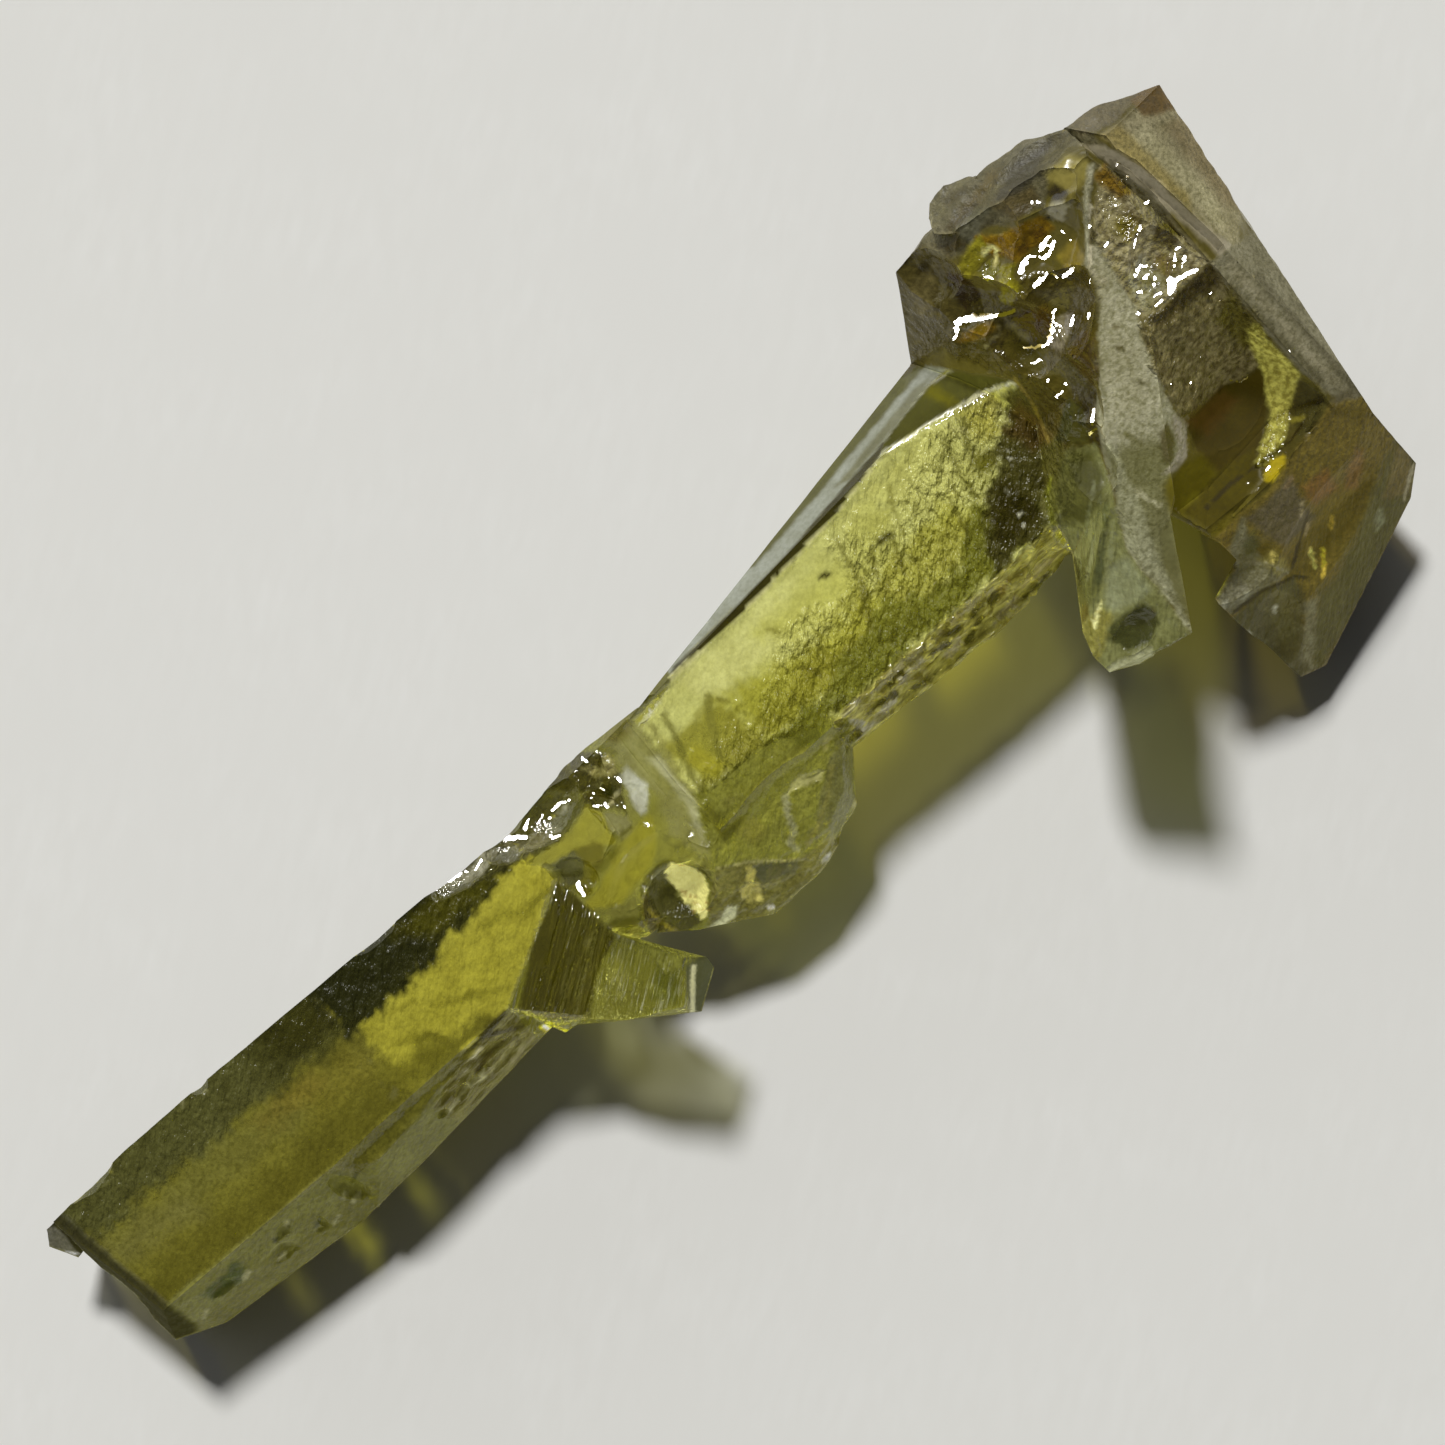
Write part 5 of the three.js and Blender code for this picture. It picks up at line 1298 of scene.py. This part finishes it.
def paint_lobe(coat):
    whole = (
        14, -7.3, 15.1, -6.9, 15.2, -5.95, 17.6, -5.95, 19.2, -5.6, 20.7, -5.3, 22.4, -6.2, 22.2,
        -9.4, 15.2, -12.2, 13.2, -10.9,
    )
    # The lobe gets a faint painted glow.
    coat.patch(
        whole, 0.15, 0.1, None, tint=(0.16, 0.12, 0.06), rough=0.6, colour=(110, 97, 44),
        frosting=0.94, gritty=1, head_ribs=0.5, broken=0.3, glow=0.1,
    )
    low = (
        14.6, -11.4, 14.8, -10.8, 15.6, -10, 16.6, -9.4, 17.2, -9.4, 19.4, -8.4, 21.6, -7.4, 22.2,
        -9.4,
    )
    coat.patch(low, 0.5, 0.2, colour=(88, 85, 46))
    grey = (
        13.9, -7.5, 15.1, -7.1, 15.3, -6.5, 16.3, -6.1, 15.9, -7.2, 16.3, -8.3, 15.9, -8.35, 15.2,
        -8.15, 14, -8.15,
    )
    near_face = (13.8, -8.2, 15.2, -8.25, 16.3, -8.55, 15.5, -9.8, 14.7, -11.4, 13.4, -10.5)
    coat.patch(grey, 0.16, 0.1, colour=(114, 112, 88), frosting=0.85)
    # A painted yellow glint, with a painted glow.
    coat.line(
        (14.1, -7.25, 14.5, -7.1, 14.95, -6.9), 0.25, 0.06, above=None, colour=(150, 150, 40),
        frosting=0.9, glow=0.5,
    )
    # The face left of the lobe's ridge is painted darker: painted shade, beside the real shade of
    # its cut.
    coat.patch(near_face, 0.12, 0.08, None, colour=(80, 79, 52), frosting=0.75, head_ribs=1)
    for colour, *outline in (
        ((142, 134, 72), 15.8, -7.4, 16.4, -7.5, 16.3, -8.3, 15.9, -8.2),
        ((72, 74, 44), 15.7, -6.7, 16.3, -6.6, 16.1, -7.1, 15.7, -7.1),
        ((116, 86, 48), 18.3, -6.6, 19.3, -6.7, 19.1, -7.5, 18.2, -7.3),
        ((128, 100, 58), 19.2, -7.6, 20.4, -6.8, 20.5, -7.1, 19.6, -7.8),
        ((90, 84, 68), 16.4, -6.2, 18.2, -6.1, 18, -7.6, 16.6, -7.6),
        ((136, 140, 110), 19.4, -8.9, 19.7, -8.8, 19.5, -9.2, 19.2, -9.2),
        ((64, 62, 38), 15.4, -8.9, 16.3, -8.8, 15.9, -9.6, 15.3, -9.7),
        ((128, 126, 98), 14.8, -11.1, 15.2, -10.6, 16.4, -9.5, 16, -9.4, 15.2, -10.1, 14.7, -10.7),
        ((116, 104, 62), 20, -8.6, 21.4, -7.6, 21.6, -8.2, 20.6, -9),
    ):
        coat.patch(outline, 0.25, 0.15, strength=0.85, colour=colour)
    # The crease is painted dark, as painted shade along the step.
    crease = (14.2, -8.1, 15.2, -8.2, 16.3, -8.55, 16.5, -8.8)
    coat.line(crease, 0.12, colour=(54, 50, 32))
    coat.line((16.4, -8.3, 17.2, -7.8, 18, -7.3), 0.08, 0.06, colour=(66, 58, 40))
    coat.line((15.1, -6.9, 15.9, -7.6, 16.2, -8.3), 0.08, 0.06, colour=(140, 136, 110))
    # The last five lines are painted golden glints.
    for width, colour, *route in (
        (0.08, (150, 144, 116), 20.4, -9.05, 21.4, -8.4),
        (0.13, (176, 176, 156), 15.05, -8.95, 15.2, -8.85),
        (0.1, (160, 160, 140), 13.98, -9.2, 14.05, -8.9),
        (0.12, (160, 160, 140), 14, -7.8, 14.15, -7.7),
        (0.12, (140, 140, 116), 14.6, -8, 14.8, -7.95),
        (0.09, (150, 140, 110), 17.7, -7.3, 18, -7),
        (0.1, (130, 112, 84), 17.9, -6.3, 18.3, -6.2),
        (0.08, (140, 126, 90), 17.4, -7.8, 17.7, -7.6),
        (0.12, (222, 204, 110), 16.95, -8.75, 17.2, -8.25),
        (0.13, (236, 196, 60), 17.15, -8.95, 17.5, -8.5),
        (0.1, (200, 176, 70), 16.95, -9.1, 17.2, -8.95),
        (0.14, (196, 170, 70), 18.15, -8.2, 18.4, -7.92),
        (0.09, (206, 192, 110), 16.05, -7.8, 16.3, -7.5),
    ):
        coat.line(route, width, 0.06, colour=colour, frosting=0.92)


def paint_fin_side(coat):
    side = (
        14.5, -1.3, 13.6, -0.9, 11.9, -2.4, 11.6, -3.5, 10.7, -5.2, 9.6, -5.4, 9.4, -7.6, 12.6,
        -8.1, 12.9, -6.2, 12.85, -5.2, 13, -4.3, 13.5, -3.4, 14.1, -2.3,
    )
    # The side gets a painted glow.
    coat.patch(
        side, 0.1, 0.06, None, tint=(0.2, 0.2, 0.1), rough=0.12, colour=(112, 114, 72),
        frosting=0.92, head_ribs=1, broken=0.3, glow=0.4,
    )
    upper = (13.8, -0.8, 14.4, -1.5, 13.6, -2.8, 12.5, -3, 11.9, -2.4, 12.6, -1.4)
    coat.patch(upper, 0.4, 0.2, colour=(76, 76, 36), frosting=1, head_ribs=0.4, rough=0.7)
    dim = (10.4, -4.8, 11.4, -3.6, 12.2, -3.9, 11.3, -5)
    coat.patch(dim, 0.3, 0.15, strength=0.8, colour=(86, 88, 50))
    pale = (11.3, -5.2, 12.2, -4.5, 12.8, -4.6, 12.7, -5.8, 12.3, -5.9, 11.3, -5.6)
    coat.patch(pale, 0.3, 0.12, colour=(124, 128, 96))
    for width, colour, *route in (
        (0.12, (76, 82, 54), 11.6, -4.6, 12.6, -3.7, 13.4, -3),
        (0.1, (84, 88, 56), 11.9, -3.8, 12.8, -3.2, 13.5, -2.6),
        (0.1, (124, 128, 92), 11.4, -4.3, 12.4, -3.5),
        (0.1, (124, 128, 92), 12.4, -4.3, 13.2, -3.5),
        (0.1, (104, 108, 74), 12.3, -3.2, 13.6, -2.2),
        (0.14, (128, 132, 50), 11.8, -2.3, 12.2, -1.5, 12.7, -1.2),
        (0.14, (96, 94, 44), 11, -3.5, 11.6, -3.3),
    ):
        coat.line(route, width, 0.08, strength=0.8, colour=colour, frosting=0.75)
    dark = (
        10.6, -6.1, 11, -5.85, 11.6, -5.9, 12.2, -6, 12.35, -6.4, 12.2, -6.8, 11.6, -7.05, 10.9,
        -6.8,
    )
    white = (9.8, -6.8, 10.2, -6.75, 10.9, -7, 11.5, -7.15, 11.3, -7.6, 9.8, -7.5)
    speckled = (9.7, -5.3, 11.1, -5.2, 11.3, -5.6, 10.8, -5.9, 10.4, -6.3, 9.7, -6.5)
    coat.patch(
        dark, 0.16, 0.1, None, tint=(0.12, 0.13, 0.06), colour=(58, 60, 36), frosting=0.8,
        head_ribs=0.2,
    )
    coat.patch(white, 0.12, 0.08, None, colour=(166, 168, 132), frosting=0.85, head_ribs=0)
    coat.patch(speckled, 0.2, 0.2, None, colour=(138, 134, 72), frosting=0.65, broken=0.5)
    # Painted yellow glints.
    for route in (
        (10.6, -5.52, 10.7, -5.48), (10.75, -5.4, 10.95, -5.3), (11.05, -5.22, 11.25, -5.12),
        (10.5, -4.8, 10.6, -4.8),
    ):
        coat.line(route, 0.11, 0.05, colour=(226, 222, 150), frosting=0.92)


def painted(piece):
    coat = Coat(piece)
    for paint in (
        paint_shank, paint_chips, paint_rod, paint_middle, paint_spur, paint_belly, paint_head,
        paint_fin_side, paint_crest, paint_back, paint_bowl, paint_lobe, paint_far_sides,
        paint_lamp_sides,
    ):
        paint(coat)
    coat.keep()


# ---- shader nodes ----
def node(tree, kind, **settings):
    """A new shader node with its inputs or its own settings set, by name."""
    made = tree.nodes.new("ShaderNode" + kind)
    for name, value in settings.items():
        if name in made.inputs:
            made.inputs[name].default_value = value
        else:
            setattr(made, name, value)
    return made


def feed(tree, target, source):
    """Sets an input from a socket or a plain value."""
    if isinstance(source, bpy.types.NodeSocket):
        tree.links.new(source, target)
    else:
        target.default_value = source


def fed(tree, kind, sources, output=0, **settings):
    """The output of a new node whose inputs, by number or name, are fed from sources."""
    made = node(tree, kind, **settings)
    for socket, source in sources.items():
        feed(tree, made.inputs[socket], source)
    return made.outputs[output]


def maths(tree, operation, *sources):
    return fed(tree, "Math", dict(enumerate(sources)), operation=operation)


def new_group(name, inputs, outputs):
    """An empty node group with its sockets; inputs and outputs are (name, kind, value)."""
    tree = bpy.data.node_groups.new(name, "ShaderNodeTree")
    for direction, sockets in (("INPUT", inputs), ("OUTPUT", outputs)):
        for label, kind, value in sockets:
            socket = tree.interface.new_socket(
                name=label, in_out=direction, socket_type="NodeSocket" + kind
            )
            if value is not None:
                socket.default_value = value
    return tree, tree.nodes.new("NodeGroupInput"), tree.nodes.new("NodeGroupOutput")


def grain_group():
    """Noise with grains of a size in millimetres, stretched and turned, cut to a range."""
    tree, given, result = new_group(
        "Grain",
        (
            ("Place", "Vector", None), ("Size", "Float", 1), ("Stretch", "Vector", (1, 1, 1)),
            ("Turn", "Float", 0), ("Detail", "Float", 2), ("Low", "Float", 0.3),
            ("High", "Float", 0.7),
        ),
        (("Value", "Float", None),),
    )
    asked = given.outputs
    turn = maths(tree, "MULTIPLY", asked["Turn"], -1)
    turned = {"Vector": asked["Place"], "Angle": turn}
    turned = fed(tree, "VectorRotate", turned, rotation_type="Z_AXIS")
    shrunk = fed(tree, "VectorMath", {0: turned, 1: asked["Stretch"]}, operation="DIVIDE")
    scale = maths(tree, "DIVIDE", 1 / MM, asked["Size"])
    waves = {"Vector": shrunk, "Scale": scale, "Detail": asked["Detail"]}
    waves = fed(tree, "TexNoise", waves, "Fac")
    cut = {"Value": waves, "From Min": asked["Low"], "From Max": asked["High"]}
    feed(tree, result.inputs["Value"], fed(tree, "MapRange", cut))
    return tree


class Finish:
    """A material as it is built up: what it reads and how layers are mixed."""

    def __init__(self, tree):
        self.tree = tree
        self.grains = bpy.data.node_groups.get("Grain") or grain_group()
        self.place = node(tree, "TexCoord").outputs["Object"]

    def grain(self, size, low=0.3, high=0.7, stretch=(1, 1, 1), turn=0, detail=2):
        """Grain of a size in millimetres, turned in degrees, between two heights of the noise."""
        asked = {"Place": self.place, "Size": size, "Stretch": stretch, "Low": low, "High": high}
        asked |= {"Turn": math.radians(turn), "Detail": detail}
        return fed(self.tree, "Group", asked, node_tree=self.grains)

    def layer(self, name):
        """A layer of the paint, by its name."""
        output = "Color" if LAYERS[name] == COLOUR else "Fac"
        return fed(self.tree, "Attribute", {}, output, attribute_name=name)

    def chained(self, operation, *sources):
        """One number from many: times multiplies, most takes the greatest and plus adds."""
        return reduce(partial(maths, self.tree, operation), sources)

    times = partialmethod(chained, "MULTIPLY")
    most = partialmethod(chained, "MAXIMUM")
    plus = partialmethod(chained, "ADD")

    def between(self, low, high, way):
        """A number from low to high, as way goes from 0 to 1."""
        return maths(self.tree, "MULTIPLY_ADD", way, high - low, low)

    def mixed(self, under, over, mask, blend="MIX"):
        """One colour over another, by a mask."""
        sources = {0: mask, 6: under, 7: over}
        return fed(self.tree, "Mix", sources, 2, data_type="RGBA", blend_type=blend)


# ---- the crystal's material ----
PEBBLE_SHADE = (0.5, 0.49, 0.36, 1)
SPLINTER_SHADE = (0.45, 0.42, 0.34, 1)
CLOUD_SHADE = (0.76, 0.75, 0.68, 1)
SPECKLE_SHADE = (0.6, 0.6, 0.53, 1)
SPECKLE_LEAST = 0.35  # how much of the speckles shows where the skin isn't gritty
CLOUDS_IN_GLASS = 0.6
PITS_IN_FROST = 0.8
FROST_UNDER_SPECKLES = 0.8
LEAST_FROST_ROUGH = 0.1
PEBBLE_HEIGHTS = (0.025, 0.22)  # on clear and on frosted skin, in millimetres
RELIEFS = {  # how high each fine relief stands, in millimetres, and its grain
    "gritty": (0.008, (0.09, 0.3, 0.7, (1, 1, 1), 0, 1)),
    "broken": (0.07, (0.3, 0.3, 0.7, (1, 1, 1), 0, 3)),
    "flaked": (0.08, (0.3, 0.3, 0.7, (2.6, 0.8, 1), 2, 3)),
    "spur_ribs": (0.05, (0.13, 0.35, 0.65, (9, 1, 2), 35, 1)),
    "head_ribs": (0.045, (0.17, 0.35, 0.65, (8, 1, 2), 50, 1)),
}
GLINT_FRAYED = 0.4  # how much grain frays a glint's edge
GLINT_FROM, GLINT_FULL = 0.8, 0.9


def relief(finish):
    """The height of the fine relief under frosted and clear skin alike, in millimetres."""
    return finish.plus(
        *(
            finish.times(finish.layer(name), finish.grain(*grain), height)
            for name, (height, grain) in RELIEFS.items()
        )
    )


def glints(finish, skin):
    """Where the painted highlights are, and the skin's normal turned there toward the lamp."""
    tree = finish.tree
    ragged = finish.plus(finish.layer("glint"), finish.times(finish.grain(0.13), GLINT_FRAYED))
    cut = fed(tree, "MapRange", {"Value": ragged, "From Min": GLINT_FROM, "From Max": GLINT_FULL})
    way = {0: finish.layer("facet"), 1: (2, 2, 2), 2: (-1, -1, -1)}
    way = fed(tree, "VectorMath", way, operation="MULTIPLY_ADD")
    turned = fed(tree, "Mix", {0: cut, 4: skin, 5: way}, 1, data_type="VECTOR")
    return cut, fed(tree, "VectorMath", {0: turned}, operation="NORMALIZE")


def glass_colour(finish, pits, clouds, speckle):
    """What the glass keeps of light that passes through its skin."""
    pitted = finish.times(finish.layer("pebbled"), pits)
    clouded = finish.between(0, CLOUDS_IN_GLASS, clouds)
    speckled = finish.times(finish.layer("gritty"), speckle)
    colour = finish.mixed(finish.layer("tint"), PEBBLE_SHADE, pitted, "MULTIPLY")
    colour = finish.mixed(colour, CLOUD_SHADE, clouded, "MULTIPLY")
    return finish.mixed(colour, SPECKLE_SHADE, speckled, "MULTIPLY")


def frost_colour(finish, pits, clouds, speckle):
    """What frosted skin keeps of the light it sends back."""
    pitted = finish.times(finish.layer("pebbled"), pits, PITS_IN_FROST)
    splinters = finish.most(
        finish.times(finish.layer("broken"), finish.grain(0.2, 0.38, 0.62)),
        finish.times(finish.layer("flaked"), finish.grain(0.2, 0.38, 0.62, (3, 0.8, 1), 2)),
    )
    colour = finish.mixed(finish.layer("frost"), PEBBLE_SHADE, pitted, "MULTIPLY")
    colour = finish.mixed(colour, SPLINTER_SHADE, splinters, "MULTIPLY")
    colour = finish.mixed(colour, CLOUD_SHADE, clouds, "MULTIPLY")
    return finish.mixed(colour, SPECKLE_SHADE, speckle, "MULTIPLY")


def crystal_material():
    material = bpy.data.materials.new("zincite")
    material.use_nodes = True
    material.cycles.emission_sampling = "NONE"
    tree = material.node_tree
    tree.nodes.clear()
    output = node(tree, "OutputMaterial")
    finish = Finish(tree)
    pebbles = finish.grain(0.3, 0.3, 0.7, (1.6, 0.8, 1), 50, 3)
    pits = finish.grain(0.34, 0.55, 0.66, (1.8, 0.6, 1), 46)
    clouds = finish.grain(0.9, 0.35, 0.7, detail=3)
    gritty = finish.between(SPECKLE_LEAST, 1, finish.layer("gritty"))
    speckle = finish.times(finish.grain(0.14, 0.4, 0.7), gritty)

    height = relief(finish)
    pebbled = finish.times(finish.layer("pebbled"), pebbles)
    heights = (finish.plus(height, finish.times(pebbled, h)) for h in PEBBLE_HEIGHTS)
    clear_skin, frost_skin = (fed(tree, "Bump", {"Height": h}, Distance=MM) for h in heights)
    glint, turned = glints(finish, clear_skin)

    rough = finish.layer("rough")
    glass = {
        "IOR": IOR,
        "Transmission Weight": 1,
        "Base Color": glass_colour(finish, pits, clouds, speckle),
        "Roughness": rough,
        "Normal": turned,
    }
    colour = frost_colour(finish, pits, clouds, speckle)
    # Painted glow: frosted skin gives off light where lamp light doesn't reach it.
    glow = finish.times(finish.layer("glow"), LAMP_ON_WHITE)
    frost = {
        "IOR": FROST_IOR,
        "Base Color": colour,
        "Emission Color": finish.mixed(BLACK, colour, glow),
        "Emission Strength": 1,
        "Roughness": finish.between(LEAST_FROST_ROUGH, 1, rough),
        "Normal": frost_skin,
    }
    amount = finish.times(
        finish.layer("frosting"),
        finish.between(1, FROST_UNDER_SPECKLES, speckle),
        finish.between(1, 0, glint),
    )
    glass, frost = fed(tree, "BsdfPrincipled", glass), fed(tree, "BsdfPrincipled", frost)
    skin = fed(tree, "MixShader", {0: amount, 1: glass, 2: frost})

    # Lamp light, and the light that the paper sends back, passes straight through, tinted.
    leaving = node(tree, "NewGeometry").outputs["Backfacing"]
    let_in = finish.mixed(finish.layer("let_in"), WHITE, leaving)
    lit = fed(tree, "BsdfTransparent", {"Color": let_in})
    path = node(tree, "LightPath").outputs
    straight = finish.most(path["Is Shadow Ray"], path["Is Diffuse Ray"])
    surface = fed(tree, "MixShader", {0: straight, 1: skin, 2: lit})
    feed(tree, output.inputs["Surface"], surface)
    depth = {"Density": DEPTH_DENSITY, "Color": DEPTH_COLOUR}
    feed(tree, output.inputs["Volume"], fed(tree, "VolumeAbsorption", depth))
    return material


def paper_material():
    material = bpy.data.materials.new("paper")
    material.use_nodes = True
    finish = Finish(material.node_tree)
    shader = material.node_tree.nodes["Principled BSDF"]
    threads = finish.grain(0.5, 0.35, 0.75, (3, 1, 1), 35)
    fibres = finish.times(threads, finish.grain(4, detail=1))
    colour = finish.mixed(PAPER_DARK, PAPER_LIGHT, fibres)
    feed(material.node_tree, shader.inputs["Base Color"], colour)
    shader.inputs["Roughness"].default_value = 0.9
    shader.inputs["Specular IOR Level"].default_value = 0.2
    return material


# ---- the studio ----
def floor():
    deselect_all()
    bpy.ops.mesh.primitive_plane_add(size=FLOOR_SIZE, location=(0, 0, 0))
    paper = bpy.context.object
    paper.name = "paper"
    paper.data.materials.append(paper_material())


def lamp():
    way = way_to_lamp()
    light = bpy.data.lights.new("lamp", "AREA")
    light.shape = "DISK"
    light.size = LAMP_WIDTH * MM
    light.energy = LAMP_POWER
    light.color = LAMP_COLOUR
    holder = bpy.data.objects.new("lamp", light)
    holder.location = way * LAMP_DISTANCE * MM
    holder.rotation_euler = way.to_track_quat("Z", "Y").to_euler()
    bpy.context.collection.objects.link(holder)


def surroundings():
    """A dim room with a bright low band on the lamp's side."""
    world = bpy.data.worlds.new("room")
    bpy.context.scene.world = world
    world.use_nodes = True
    tree = world.node_tree
    background = tree.nodes["Background"]
    way = node(tree, "SeparateXYZ")
    feed(tree, way.inputs[0], node(tree, "TexCoord").outputs["Generated"])
    edges = []
    for axis, (begins, full) in (("Y", BAND_SIDE), ("Z", BAND_TOP)):
        edge = {"Value": way.outputs[axis], "From Min": begins, "From Max": full}
        edges.append(fed(tree, "MapRange", edge, interpolation_type="SMOOTHSTEP"))
    band = maths(tree, "MULTIPLY", *edges)
    strength = maths(tree, "MULTIPLY_ADD", band, BAND_LIGHT, ROOM_LIGHT)
    path = node(tree, "LightPath").outputs
    share = maths(tree, "MULTIPLY_ADD", path["Is Diffuse Ray"], ROOM_ON_MATT - 1, 1)
    strength = maths(tree, "MULTIPLY", strength, share)
    backdrop = {0: path["Is Camera Ray"], 2: strength, 3: BACKDROP}
    background.inputs["Color"].default_value = ROOM_COLOUR
    feed(tree, background.inputs["Strength"], fed(tree, "Mix", backdrop, data_type="FLOAT"))


def camera():
    lens = bpy.data.cameras.new("eye")
    lens.sensor_width = SENSOR_WIDTH
    lens.lens = SENSOR_WIDTH * (EYE_HEIGHT - TRUE_HEIGHT) / FIELD_WIDTH
    lens.clip_start = 0.001
    eye = bpy.data.objects.new("eye", lens)
    eye.location = Vector((*MIDDLE, EYE_HEIGHT)) * MM
    eye.rotation_euler = Euler((0, 0, math.radians(ROLL)))
    bpy.context.collection.objects.link(eye)
    bpy.context.scene.camera = eye


def rendering():
    scene = bpy.context.scene
    scene.view_settings.view_transform = "Standard"
    scene.cycles.max_bounces = MOST_BOUNCES
    scene.cycles.transmission_bounces = MOST_BOUNCES
    scene.cycles.glossy_bounces = MOST_MIRRORINGS
    scene.cycles.transparent_max_bounces = MOST_LAYERS
    scene.cycles.caustics_reflective = False
    scene.cycles.caustics_refractive = False


# ---- putting it together ----
crystal = crystal_piece()
painted(crystal)
crystal.data.materials.clear()
crystal.data.materials.append(crystal_material())
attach(crystal, "root")
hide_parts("crystal")

floor()
lamp()
surroundings()
camera()
rendering()
